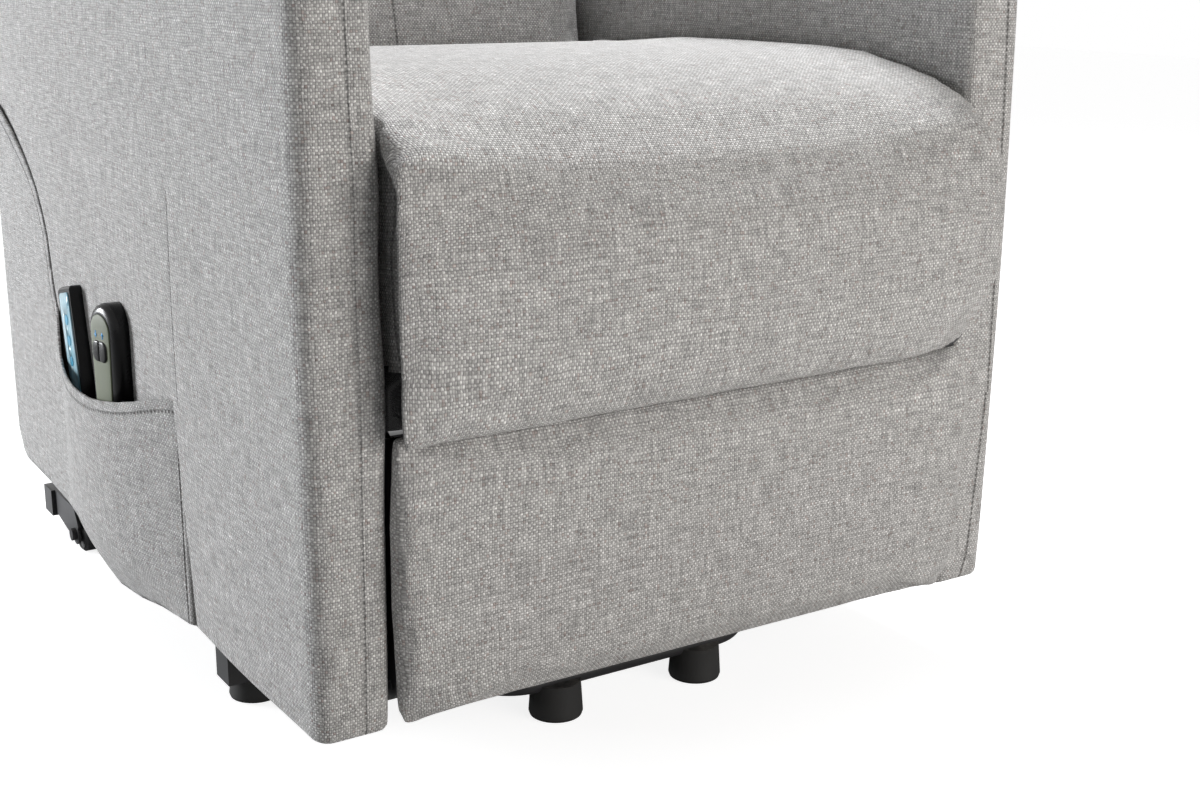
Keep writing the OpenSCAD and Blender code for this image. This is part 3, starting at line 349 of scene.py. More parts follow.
# a dyed length of yarn shows on two or three knots, and each knot takes the light its own way
strand = add(weave, "CombineXYZ", {0: choose(warp_no, by_twos(warp_at)), 1: choose(by_twos(weft_at), weft_no),
                                   2: over})
strand_no = add(weave, "TexWhiteNoise", {"Vector": strand.outputs[0]}, noise_dimensions="3D").outputs["Value"]
knot = add(weave, "TexWhiteNoise", {"Vector": add(weave, "CombineXYZ", {0: warp_no, 1: weft_no}).outputs[0]},
           noise_dimensions="3D").outputs["Value"]
yarn = tint(weave, over, weave_in.outputs["Warp"], weave_in.outputs["Weft"])
dyed = calc(weave, "MULTIPLY", calc(weave, "GREATER_THAN", strand_no, 0.965), 0.7)
yarn = tint(weave, dyed, yarn, weave_in.outputs["Fleck"])
lit = [calc(weave, "MULTIPLY_ADD", knot, 0.30, 0.85)]
for stretch in ((0.08, 0.9, 0.0), (0.9, 0.08, 3.0)):
    spread = add(weave, "CombineXYZ", {0: calc(weave, "MULTIPLY", warp_at, stretch[0]),
                                       1: calc(weave, "MULTIPLY", weft_at, stretch[1]), 2: stretch[2]})
    uneven = calc(weave, "SUBTRACT", noise(weave, spread.outputs[0], 1.0, 2.0), 0.5)
    lit.append(calc(weave, "MULTIPLY_ADD", uneven, weave_in.outputs["Streak"], 1.0))
light = calc(weave, "MULTIPLY", calc(weave, "MULTIPLY", lit[0], lit[1]), lit[2])
shaded = calc(weave, "SUBTRACT", 1.0, calc(weave, "MULTIPLY", weave_in.outputs["Gap"],
                                           calc(weave, "SUBTRACT", 1.0, calc(weave, "POWER", height, 0.6))))
yarn = add(weave, "VectorMath", {0: yarn, "Scale": calc(weave, "MULTIPLY", light, shaded)}, operation="SCALE")
weave.links.new(yarn.outputs[0], weave_out.inputs["Color"])
weave.links.new(calc(weave, "MULTIPLY_ADD", knot, 0.15, height), weave_out.inputs["Height"])

# a sewn line: a groove in the height, and a mask by which the cloth is darkened as painted shade in the
# groove, stronger at each stitch
sewn, sewn_in, sewn_out = new_group(
    "sewn line", [("Across", "Float", 0.0), ("Along", "Float", 0.0), ("From", "Float", -10.0),
                  ("To", "Float", 10.0), ("Width", "Float", 0.0022), ("Stitch", "Float", 0.0055)],
    [("Mask", "Float"), ("Height", "Float")])
off = calc(sewn, "ABSOLUTE", sewn_in.outputs["Across"])
inside = calc(sewn, "MULTIPLY", calc(sewn, "GREATER_THAN", sewn_in.outputs["Along"], sewn_in.outputs["From"]),
              calc(sewn, "LESS_THAN", sewn_in.outputs["Along"], sewn_in.outputs["To"]))
groove = calc(sewn, "MULTIPLY", between(sewn, off, sewn_in.outputs["Width"], 0.0), inside)
pull = calc(sewn, "MULTIPLY_ADD", calc(sewn, "COSINE", calc(sewn, "DIVIDE", calc(
    sewn, "MULTIPLY", sewn_in.outputs["Along"], 2 * math.pi), sewn_in.outputs["Stitch"])), 0.3, 0.7)
shoulder = calc(sewn, "MULTIPLY", between(sewn, off, calc(sewn, "MULTIPLY", sewn_in.outputs["Width"], 5.0),
                                          sewn_in.outputs["Width"]), inside)
pulled = calc(sewn, "MULTIPLY", groove, pull)
sewn.links.new(pulled, sewn_out.inputs["Mask"])
dip = calc(sewn, "MULTIPLY_ADD", pulled, -2.6, calc(sewn, "MULTIPLY", shoulder, -0.7))
sewn.links.new(dip, sewn_out.inputs["Height"])


def cloth(name, seams=(), hems=(), seam_shade=0.72, **values):
    """Woven melange cloth on a piece's own UV map, in metres. A seam is (axis, at, slope, from, to),
    and a hem follows an edge at a distance, from a second map made by mark_edge."""
    finish, tree, shader = new_finish(name, Roughness=0.88, Sheen_Weight=0.22, Sheen_Roughness=0.45,
                                      Specular_IOR_Level=0.25)
    place = add(tree, "UVMap", uv_map="weave").outputs[0]
    cloth_node = use(tree, weave, {"Place": place, **values})
    colour = cloth_node.outputs["Color"]
    height = calc(tree, "MULTIPLY", cloth_node.outputs["Height"], 0.62)
    parts = add(tree, "SeparateXYZ", {0: place})
    lines = []
    for axis, at, slope, start, end in seams:
        along = parts.outputs[1 - axis]
        across = calc(tree, "SUBTRACT", calc(tree, "SUBTRACT", parts.outputs[axis], at),
                      calc(tree, "MULTIPLY", along, slope))
        lines.append((across, along, start, end))
    for at in hems:
        edge = add(tree, "SeparateXYZ", {0: add(tree, "UVMap", uv_map="edge").outputs[0]})
        lines.append((calc(tree, "SUBTRACT", edge.outputs[0], at), edge.outputs[1], -10.0, 10.0))
    for across, along, start, end in lines:
        line = use(tree, sewn, {"Across": across, "Along": along, "From": start, "To": end})
        # each seam and hem darkens the cloth towards near-black along its groove, by the given amount:
        # painted shade in the seam
        shade = calc(tree, "MULTIPLY", line.outputs["Mask"], seam_shade)
        colour = tint(tree, shade, colour, (0.07, 0.065, 0.06, 1))
        height = calc(tree, "ADD", height, line.outputs["Height"])
    tree.links.new(colour, shader.inputs["Base Color"])
    relieve(tree, shader, height, 0.001)
    return finish


def flat_form(x, points, origin=front):
    """A flat face square to X, with an outline of (distance behind the arm fronts, height)."""
    form = bmesh.new()
    form.faces.new([form.verts.new((x, origin + y, z)) for y, z in points])
    return form


def draw_out(form, faces, vec):
    """Extrudes faces by a vector, and points every face outwards."""
    made = bmesh.ops.extrude_face_region(form, geom=faces)
    bmesh.ops.translate(form, vec=vec, verts=[g for g in made["geom"] if isinstance(g, bmesh.types.BMVert)])
    bmesh.ops.recalc_face_normals(form, faces=form.faces[:])


def from_outline(points, half):
    """A closed block as wide as twice the half, with a side outline."""
    form = flat_form(-half, points)
    draw_out(form, form.faces[:], (2 * half, 0, 0))
    return form


def joined(whole, *others):
    """Several closed blocks in one form."""
    for part in others:
        data = bpy.data.meshes.new("part")
        part.to_mesh(data)
        part.free()
        whole.from_mesh(data)
        bpy.data.meshes.remove(data)
    return whole


def round_edges(form, edges, radius, segments, clamp=False):
    """Rounds the given edges of a form."""
    bmesh.ops.bevel(form, geom=edges, offset=radius, segments=segments, profile=0.5, affect="EDGES",
                    material=-1, clamp_overlap=clamp)


def soften(form, radius, segments=4, sharper_than=20.0):
    """Rounds every edge whose faces meet at more than an angle in degrees."""
    limit = math.radians(sharper_than)
    edges = [e for e in form.edges if len(e.link_faces) == 2 and e.calc_face_angle(0.0) > limit]
    round_edges(form, edges, radius, segments, clamp=True)


def as_piece(name, form, finish, body):
    """Makes a piece of a form, shades it smooth and fixes it to its body."""
    data = bpy.data.meshes.new(name)
    form.to_mesh(data)
    form.free()
    data.shade_smooth()
    data.materials.append(finish)
    made = bpy.data.objects.new(name, data)
    scene.collection.objects.link(made)
    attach(made, body)
    return made


def settle(made):
    """Applies a piece's modifiers to its mesh."""
    bpy.context.view_layer.update()
    ready = made.evaluated_get(bpy.context.evaluated_depsgraph_get())
    data = bpy.data.meshes.new_from_object(ready)
    made.modifiers.clear()
    old = made.data
    made.data = data
    data.name = made.name
    bpy.data.meshes.remove(old)
    data.shade_smooth()


def points_of(made):
    spots = np.empty(len(made.data.vertices) * 3)
    made.data.vertices.foreach_get("co", spots)
    return spots.reshape(-1, 3)


def put_points(made, spots):
    made.data.vertices.foreach_set("co", spots.ravel())
    made.data.update()


def stuff(made, voxel, reach, pressure=4.0, stiff=15.0):
    """Gives a cushion an even skin, then swells it as a stuffed cover; no point moves more than reach."""
    skin = made.modifiers.new("even skin", "REMESH")
    skin.mode = "VOXEL"
    skin.voxel_size = voxel
    settle(made)
    rest = points_of(made)
    swell = made.modifiers.new("swell", "CLOTH")
    swell.settings.quality = 5
    swell.settings.mass = 0.3
    swell.settings.tension_stiffness = stiff
    swell.settings.compression_stiffness = stiff
    swell.settings.shear_stiffness = 5.0
    swell.settings.bending_stiffness = 0.5
    swell.settings.use_pressure = True
    swell.settings.uniform_pressure_force = pressure
    swell.settings.effector_weights.gravity = 0.0
    swell.point_cache.frame_start = 1
    swell.point_cache.frame_end = 20
    for step in range(1, 21):
        scene.frame_set(step)
    settle(made)
    scene.frame_set(1)
    spots = points_of(made)
    move = spots - rest
    far = np.linalg.norm(move, axis=1, keepdims=True)
    spots = rest + move * np.minimum(1.0, reach / np.maximum(far, 1e-9))
    put_points(made, spots)
    return rest


def fine_skin(made):
    """One subdivision over a simulated skin."""
    skin = made.modifiers.new("fine skin", "SUBSURF")
    skin.levels = skin.render_levels = 1


def even_out(made, times, where=None):
    """Relaxes a skin, so that no step of the voxels is left."""
    form = bmesh.new()
    form.from_mesh(made.data)
    verts = [v for v in form.verts if where is None or where(v.co)]
    for _ in range(times):
        bmesh.ops.smooth_vert(form, verts=verts, factor=0.5, use_axis_x=True, use_axis_y=True,
                              use_axis_z=True)
    form.to_mesh(made.data)
    form.free()
    made.data.shade_smooth()


def nearest_on(flat, line):
    """How far points lie from a line of corners, how far along it, and the line's length."""
    corners = np.array(line)
    best = np.full(len(flat), 1e9)
    way = np.zeros(len(flat))
    gone = 0.0
    for p, q in zip(corners[:-1], corners[1:]):
        span = np.linalg.norm(q - p)
        if span < 1e-9:
            continue
        t = np.clip(((flat - p) @ (q - p)) / span ** 2, 0, 1)
        off = np.linalg.norm(flat - (p + t[:, None] * (q - p)), axis=1)
        nearer = off < best
        best[nearer] = off[nearer]
        way[nearer] = gone + t[nearer] * span
        gone += span
    return best, way, gone


def lay_cloth(made, along, outline, rest=None, flat_over=0.8):
    """Unrolls the weave over a piece, in metres: one way along an axis, the other way round an outline."""
    spots = points_of(made) if rest is None else rest
    a, b = [axis for axis in range(3) if axis != along]
    way, gone = nearest_on(spots[:, [a, b]], outline + outline[:1])[1:]
    across, round_it = (1, 0) if along != 0 else (0, 1)
    layer = made.data.uv_layers.new(name="weave")
    made.data.uv_layers.active = layer
    uv = np.zeros((len(made.data.loops), 2))
    for face in made.data.polygons:
        ids = list(face.vertices)
        loops = slice(face.loop_start, face.loop_start + face.loop_total)
        if abs(face.normal[along]) > flat_over:
            uv[loops, 0] = spots[ids, a]
            uv[loops, 1] = spots[ids, b]
        else:
            gone_by = way[ids]
            if gone_by.max() - gone_by.min() > gone / 2:
                gone_by = np.where(gone_by < gone / 2, gone_by + gone, gone_by)
            uv[loops, round_it] = gone_by
            uv[loops, across] = spots[ids, along]
    layer.data.foreach_set("uv", uv.ravel())


def bump_at(value, centre, spread):
    """A soft hill of height 1 round a centre."""
    return np.exp(-((value - centre) / spread) ** 2)


def step_at(value, low, high):
    """From 0 below low to 1 above high, with soft ends."""
    t = np.clip((value - low) / (high - low), 0, 1)
    return t * t * (3 - 2 * t)


def crown_at(value, middle, half):
    """1 in the middle, falling to 0 at the half on either side."""
    return np.clip(1 - ((value - middle) / half) ** 2, 0, 1)


def along_line(value, line):
    """A value read off a line of (place, value) points."""
    return np.interp(value, [point[0] for point in line], [point[1] for point in line])


def widening(side, high, rows, reach, width_line, chosen=True):
    """By how much each point's row has to grow, for the half width that a line gives by height."""
    now = np.array([side[(abs(high - row) < reach) & chosen].max() for row in rows])
    return np.interp(high, rows, along_line(rows, width_line) / now) - 1


seat_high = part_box("seat_cushion")[1]
seat_half = seat_high[0]
seat_back = seat_high[1] - front
seat_top = seat_high[2]
block_half, flap_half = 0.2715, 0.280
under_side = [(0.006, 0.3125), (0.014, 0.3125), (0.045, 0.345), (0.062, 0.404), (0.084, 0.4155),
              (seat_back - 0.030, 0.4155)]
crown_side = [(seat_back - 0.006, seat_top - 0.025), (seat_back - 0.030, seat_top - 0.015),
              (0.391, seat_top - 0.009), (0.227, seat_top - 0.008), (0.150, seat_top - 0.010),
              (0.086, seat_top - 0.014), (0.019, seat_top - 0.029), (-0.030, 0.501)]
roll_side = [(-0.036, 0.490), (-0.042, 0.465), (-0.044, 0.440), (-0.043, 0.411), (-0.040, 0.391),
             (-0.036, 0.357), (-0.024, 0.334)]
flap_face = [(-0.037, 0.490), (-0.043, 0.468), (-0.0455, 0.445), (-0.0445, 0.411), (-0.043, 0.391),
             (-0.041, 0.360), (-0.039, 0.337), (-0.036, 0.324), (-0.030, 0.316)]
flap_rear = [(-0.022, 0.316), (-0.017, 0.326), (-0.018, 0.350), (-0.022, 0.380), (-0.024, 0.470),
             (-0.018, 0.498)]
block = from_outline(under_side + crown_side + roll_side, block_half)
soften(block, 0.010, 3, 60.0)
flap = from_outline(crown_side[-1:] + flap_face + flap_rear, flap_half)
soften(flap, 0.005, 2, 60.0)
seat_cloth = cloth("seat cloth", seams=((0, front - 0.0015, 0.0, 0.335, 0.500),))
seat = as_piece("seat_cover", joined(block, flap), seat_cloth, "seat_body")
rest = stuff(seat, 0.0072, 0.010)
# the stuffing fills the middle, while the sewn edges keep their line out to the arms
sewn_half = 0.2785
sewn_top = [(-0.033, 0.507), (0.001, 0.528), (0.032, 0.539), (0.077, 0.549), (0.124, 0.557), (0.180, 0.5595),
            (0.300, 0.559), (0.400, 0.5575), (0.520, 0.548)]
ahead, side = rest[:, 1] - front, np.abs(rest[:, 0])
top_due = along_line(ahead, sewn_top) + 0.004 * step_at(side, 0.200, 0.262)
edge = rest.copy()
edge[:, 0] *= np.where(ahead > -0.020, sewn_half / block_half, 1.0)
edge[:, 2] += (top_due - along_line(ahead, crown_side[::-1])) * step_at(rest[:, 2], 0.430, 0.505)
stuffed = 1 - step_at(side, 0.150, 0.255) * step_at(rest[:, 2], 0.430, 0.500)
stuffed -= 0.45 * step_at(rest[:, 2], 0.500, 0.530) * stuffed
spots = points_of(seat)
put_points(seat, edge + (spots - edge) * stuffed[:, None])
weave_line = flap_face[::-1] + crown_side[::-1] + under_side[:0:-1]
lay_cloth(seat, 0, [(front + y, z) for y, z in weave_line], rest)
fine_skin(seat)
settle(seat)
spots = points_of(seat)
ahead = spots[:, 1] - front
side = np.abs(spots[:, 0])
hand = np.sign(spots[:, 0])
# the flap hangs to its full depth, a little lower at the left, and the near-black part behind it too
flap_ends, hangs_from = -0.0155, 0.375
for part, depth in ((ahead < flap_ends, 0.0663 - 0.0150 * spots[:, 0]), (ahead >= flap_ends, 0.0665)):
    low = part & (spots[:, 2] < hangs_from)
    hang = np.clip((hangs_from - spots[:, 2]) / (hangs_from - spots[low, 2].min()), 0, 1)
    spots[:, 2] = np.where(low, hangs_from - hang * depth, spots[:, 2])
high = spots[:, 2]
flap_width = [(0.312, 0.2835), (0.330, 0.2860), (0.350, 0.2865), (0.400, 0.2860), (0.440, 0.2850),
              (0.480, 0.2840), (0.500, 0.2805)]
wider = widening(side, high, np.arange(0.314, 0.500, 0.008), 0.008, flap_width, ahead < -0.030)
side *= 1 + wider * step_at(side, 0.150, 0.262) * step_at(ahead, -0.016, -0.026) * (high < 0.506)
# its front stays forward out to the side seams, more so at the right
front_line = [(0.330, -0.0400), (0.360, -0.0430), (0.411, -0.0455), (0.445, -0.0470), (0.468, -0.0455),
              (0.490, -0.0410), (0.500, -0.0350)]
wing = step_at(side, 0.235, 0.272) * step_at(ahead, -0.016, -0.029)
wing *= step_at(high, 0.318, 0.345) * step_at(high, 0.512, 0.485)
ahead = ahead - np.where(hand > 0, 0.78, 0.30) * wing * np.maximum(ahead - along_line(high, front_line), 0)
spots[:, 1] = front + ahead
# the boxing is set in behind the flap, below a fold that runs from the roll down to the flap's corner
fold_at = 0.481 + 0.53 * np.clip(ahead + 0.050, 0.0, 0.047)
set_in = step_at(ahead, -0.031, -0.026) * step_at(ahead, 0.100, 0.060)
set_in *= step_at(high, fold_at + 0.003, fold_at - 0.007) * step_at(side, 0.235, 0.262)
crease = 0.0035 * bump_at(ahead, -0.0015, 0.0045)
dark_cloth_top = 0.354
in_dark_cloth = step_at(high, dark_cloth_top - 0.002, dark_cloth_top - 0.009)
side = side * (1 - set_in) + (0.2660 - crease + 0.0125 * in_dark_cloth) * set_in
# no point passes the line of the arms, which the flap meets and the boxing stays clear of
boxing_limit = [(-0.042, 0.2875), (-0.024, 0.2700), (-0.014, 0.2700), (-0.006, block_half),
                (0.012, block_half), (0.022, seat_half + 0.0012)]
roll_limit = [(-0.045, 0.2875), (-0.004, 0.2765)]
in_roll = step_at(high, fold_at - 0.004, fold_at + 0.004)
limit = along_line(ahead, boxing_limit)
limit = np.where(ahead < 0.0, limit * (1 - in_roll) + along_line(ahead, roll_limit) * in_roll, limit)
side = np.minimum(side, limit + 0.009 * in_dark_cloth * (ahead > -0.014))
# at the right its lower corner curls back
curl = step_at(spots[:, 0], 0.200, 0.284) * step_at(high, 0.380, 0.320) * step_at(ahead, 0.0, -0.012)
spots[:, 1] += 0.020 * curl
spots[:, 0] = hand * (side - 0.006 * curl)
base_at = 0.4125
spots[:, 2] = np.where(ahead > 0.09, np.maximum(spots[:, 2], base_at), spots[:, 2])
put_points(seat, spots)
even_out(seat, 1)
even_out(seat, 8, lambda at: at.y < front + 0.012 and 0.462 < at.z < 0.540 and abs(at.x) < 0.268)
# below the boxing the cushion's faces get near-black cloth: painted shade that darkens the gap under the seat
# roll
black_shade_cloth = cloth("black shade cloth", Pitch=0.0012, Warp=(0.016, 0.016, 0.017, 1),
                     Weft=(0.022, 0.022, 0.023, 1), Fleck=(0.02, 0.02, 0.02, 1))
seat.data.materials.append(black_shade_cloth)
for face in seat.data.polygons:
    if face.center[1] - front > -0.019 and face.center[2] < dark_cloth_top:
        face.material_index = 1
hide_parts("seat_cushion")

# ---------------------------------------------------------------------------------------------------
# Foot rest pad: thin foam and the same cloth pulled round a plywood board and stapled behind it. Its
# front crowns between soft corners, and its upper edge tucks up under the seat roll.
# ---------------------------------------------------------------------------------------------------
foot_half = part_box("foot_cushion")[1][0]
foot_side = [(0.0003, 0.085), (-0.004, 0.0825), (-0.010, 0.086), (-0.0135, 0.100), (-0.0165, 0.14),
             (-0.0175, 0.19), (-0.0165, 0.25), (-0.0145, 0.285), (-0.011, 0.300), (-0.005, 0.305),
             (0.0003, 0.304)]
form = from_outline(foot_side, foot_half - 0.002)
soften(form, 0.004, 3, 60.0)
foot_pad = as_piece("foot_pad_cover", form, cloth("foot rest cloth"), "foot_rest")
rest = stuff(foot_pad, 0.005, 0.008)
lay_cloth(foot_pad, 0, [(front + y, z) for y, z in foot_side], rest)
fine_skin(foot_pad)
settle(foot_pad)
spots = points_of(foot_pad)
pad_foot, pad_head = 0.0805, 0.3110
now_high = (spots[:, 2].min(), 0.13, 0.26, spots[:, 2].max())
high = np.interp(spots[:, 2], now_high, (pad_foot, 0.13, 0.26, pad_head))
high += 0.009 * spots[:, 0] * step_at(high, 0.26, 0.30)
side = np.abs(spots[:, 0])
hand = np.sign(spots[:, 0])
# the sides bow out between the corners, and the pad sits a little to the right on its board
pad_width = [(0.081, 0.273), (0.088, 0.2775), (0.110, 0.2805), (0.180, 0.2835), (0.240, 0.2835),
             (0.290, 0.2805), (pad_head, 0.2770)]
wider = widening(side, high, np.arange(0.085, 0.306, 0.008), 0.010, pad_width)
side *= 1 + wider * step_at(side, 0.10, 0.25)
spots[:, 0] = hand * side + 0.004
# the lower corners are drawn up and back over the board
high = high + 0.005 * step_at(side, 0.262, 0.282) * step_at(high, 0.10, 0.082)
spots[:, 2] = high
drawn_back = step_at(high, 0.125, 0.084) * step_at(side, foot_half - 0.05, foot_half)
spots[:, 1] += 0.007 * drawn_back * step_at(spots[:, 1], front, front - 0.012)
spots[:, 1] = np.minimum(spots[:, 1], front + 0.0004)
put_points(foot_pad, spots)
even_out(foot_pad, 1)
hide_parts("foot_cushion")

# ---------------------------------------------------------------------------------------------------
# Arms: plywood boards wrapped in foam and cloth. The cloth runs in one piece round the outside and
# the soft front corner, and is joined on the arm's front by an upright seam.
# ---------------------------------------------------------------------------------------------------
arm_low, arm_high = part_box("arm_right")
arm_inner, arm_outer = arm_low[0], arm_high[0]
arm_deep = arm_high[1] - front
arm_foot, arm_head = arm_low[2], arm_high[2]


def cut_rows(form, axis, low, high, step):
    """Cuts even rows across a form, square to an axis."""
    normal = Vector([float(i == axis) for i in range(3)])
    count = max(2, round((high - low) / step))
    for i in range(1, count):
        bmesh.ops.bisect_plane(form, geom=form.verts[:] + form.edges[:] + form.faces[:], dist=1e-6,
                               plane_co=normal * (low + (high - low) * i / count), plane_no=normal)


def lengthwise(edge, axis):
    """How far an edge runs along an axis."""
    return abs((edge.verts[1].co - edge.verts[0].co)[axis])


def solid_box(size, middle):
    """A closed box of a size round a middle."""
    form = bmesh.new()
    bmesh.ops.create_cube(form, size=1.0)
    bmesh.ops.scale(form, vec=size, verts=form.verts)
    bmesh.ops.translate(form, vec=middle, verts=form.verts)
    return form


def corner_edges(form, test):
    """The sharp edges of a form whose two ends both pass a test of their place."""
    return [e for e in form.edges if e.calc_face_angle(0) > 0.8 and all(test(v.co) for v in e.verts)]


def put_sided(made, spots, sign):
    """Puts the points of a right-hand piece back, mirrored for the left one."""
    spots[:, 0] *= sign
    put_points(made, spots)
    if sign < 0:
        made.data.flip_normals()


def arm_form():
    """The arm at the right: a rounded block, cut into even rows."""
    form = solid_box((arm_outer - arm_inner, arm_deep, arm_head - arm_foot),
                     ((arm_outer + arm_inner) / 2, front + arm_deep / 2, (arm_head + arm_foot) / 2))
    outer = [e for e in form.edges if lengthwise(e, 2) > 0.1 and e.verts[0].co.x > arm_outer - 0.001]
    round_edges(form, outer, 0.016, 7)
    inner = [e for e in form.edges if lengthwise(e, 2) > 0.1 and e.verts[0].co.x < arm_inner + 0.001]
    round_edges(form, inner, 0.010, 5)
    round_edges(form, corner_edges(form, lambda at: at.z < arm_foot + 0.001), 0.007, 4)
    round_edges(form, corner_edges(form, lambda at: at.z > arm_head - 0.001), 0.008, 4)
    cut_rows(form, 1, front, front + arm_deep, 0.014)
    cut_rows(form, 2, arm_foot, arm_head, 0.014)
    cut_rows(form, 0, arm_inner, arm_outer, 0.012)
    return form


plan_corner = 0.012
arm_rear = front + arm_deep
arm_plan = [(arm_inner, front), (arm_outer - plan_corner, front), (arm_outer, front + plan_corner),
            (arm_outer, arm_rear - plan_corner), (arm_outer - plan_corner, arm_rear), (arm_inner, arm_rear)]
arm_seams = {"left": ((0, 0.022, 0.0, arm_foot - 0.01, arm_head + 0.01), (0, 0.311, 0.0, 0.28, 0.46)),
             "right": ((0, 0.05106, -0.019, 0.26, 0.70), (0, 0.028964, 0.0586, 0.105, 0.26),
                       (0, 0.00822, 0.26, 0.06, 0.105))}
for name, sign in (("left", -1), ("right", 1)):
    # the right arm's seams get much more painted shade in their grooves than the left arm's
    arm_cloth = cloth(name + " arm cloth", seams=arm_seams[name], seam_shade=0.2 if sign < 0 else 0.8)
    arm = as_piece(name + "_arm_cover", arm_form(), arm_cloth, "seat_body")
    lay_cloth(arm, 2, arm_plan)
    spots = points_of(arm)
    back_by = spots[:, 1] - front
    deep = back_by / arm_deep
    tall = (spots[:, 2] - arm_foot) / (arm_head - arm_foot)
    ends = np.clip(4 * tall * (1 - tall), 0, 1) ** 0.5
    out = step_at(spots[:, 0], arm_outer - 0.02, arm_outer)
    crowned = np.clip(4 * deep * (1 - deep), 0, 1) ** 0.5 * ends
    # the cloth's slack makes long shallow waves down the side
    waves = np.sin(spots[:, 1] * 21 + np.sin(spots[:, 2] * 7) * 1.6) * np.sin(spots[:, 2] * 9 + 1.0)
    spots[:, 0] += out * (0.0045 * crowned - 0.001 + 0.0011 * waves)
    facing = step_at(spots[:, 1], front + 0.02, front)
    spots[:, 1] -= facing * 0.004 * ends
    # the foam of the front edge swells towards the seat
    swell = step_at(spots[:, 0], arm_outer - 0.02, arm_inner) * step_at(back_by, 0.022, 0.006) * ends
    fuller = bump_at(spots[:, 2], 0.490, 0.04) + bump_at(spots[:, 2], 0.34, 0.05)
    spots[:, 0] -= swell * (0.0015 + 0.003 * fuller)
    # the foot of the panel is drawn up towards the rear
    spots[:, 2] += 0.012 * step_at(back_by, 0.58, 0.68) * step_at(spots[:, 2], 0.20, 0.085)
    put_sided(arm, spots, sign)
    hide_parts("arm_" + name)

# ---------------------------------------------------------------------------------------------------
# Arm pads: foam pillows in the same cloth on top of the arms, stapled below. Their sides roll over
# the arm panels, and their fronts are rounded.
# ---------------------------------------------------------------------------------------------------


def ring(low, high):
    """The corners of a rectangle, in order round it."""
    return [(low[0], low[1]), (high[0], low[1]), (high[0], high[1]), (low[0], high[1])]


pad_low, pad_high = (Vector(corner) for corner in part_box("arm_pad_right"))
for name, sign in (("left", -1), ("right", 1)):
    form = solid_box(pad_high - pad_low - Vector((0.004, 0.004, 0.003)),
                     (pad_high + pad_low) / 2 + Vector((0, 0, 0.0008)))
    round_edges(form, [e for e in form.edges if lengthwise(e, 2) > 0.02], 0.022, 6)
    round_edges(form, [e for e in form.edges if e.calc_face_angle(0) > 0.8], 0.012, 4)
    pad = as_piece(name + "_arm_pad_cover", form, cloth(name + " arm pad cloth"), "seat_body")
    rest = stuff(pad, 0.006, 0.004)
    lay_cloth(pad, 1, ring(pad_low.xz, pad_high.xz), rest)
    spots = points_of(pad)
    spots[:, 2] = np.maximum(spots[:, 2], pad_low[2] + 0.0004)
    spots[:, 0] = np.clip(spots[:, 0], pad_low[0], pad_high[0] + 0.002)
    put_sided(pad, spots, sign)
    fine_skin(pad)
    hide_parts("arm_pad_" + name)

# ---------------------------------------------------------------------------------------------------
# Side pockets: one panel of cloth sewn to each arm along its front, foot and rear, bowed outwards at
# the open mouth. The mouth has a turned hem, and the rear of the panel climbs up the arm.
# ---------------------------------------------------------------------------------------------------
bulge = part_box("pocket_right")[1][0] - arm_outer
mouth_a, mouth_b = 0.257, 0.634
mouth_half = (mouth_b - mouth_a) / 2
middle = (mouth_a + mouth_b) / 2
bow = (mouth_half ** 2 + bulge ** 2) / (2 * bulge)    # the radius that the bulge gives over the mouth


def mark_edge(made, axes, line):
    """A second map: how far each point is from an edge line, and how far along it."""
    spots = points_of(made)
    off, way = nearest_on(spots[:, list(axes)], line)[:2]
    layer = made.data.uv_layers.new(name="edge")
    ids = np.empty(len(made.data.loops), dtype=int)
    made.data.loops.foreach_get("vertex_index", ids)
    layer.data.foreach_set("uv", np.column_stack([off[ids], way[ids]]).ravel())
    made.data.uv_layers.active = made.data.uv_layers["weave"]


panel_rear = arm_deep - 0.004
mouth = [(0.618, 0.300), (0.590, 0.277), (0.565, 0.265), (0.540, 0.257), (0.510, 0.253), (0.480, 0.251),
         (0.450, 0.2515), (0.420, 0.253), (0.390, 0.257), (0.360, 0.262), (0.330, 0.269), (0.300, 0.277),
         (0.280, 0.281), (mouth_a, 0.282)]
rear_climb = [(panel_rear, 0.489), (0.790, 0.481), (0.750, 0.464), (0.708, 0.442), (0.685, 0.428),
              (0.664, 0.411), (0.648, 0.391), (0.636, 0.371), (0.630, 0.345), (0.626, 0.321)]
bag_foot = [(mouth_a, 0.084), (0.290, 0.080), (0.340, 0.073), (0.400, 0.061), (0.466, 0.053), (0.530, 0.062),
            (0.585, 0.076), (0.640, 0.086), (0.700, 0.089), (panel_rear - 0.020, 0.091),
            (panel_rear - 0.006, 0.097), (panel_rear, 0.108)]
pocket_hem = rear_climb + mouth
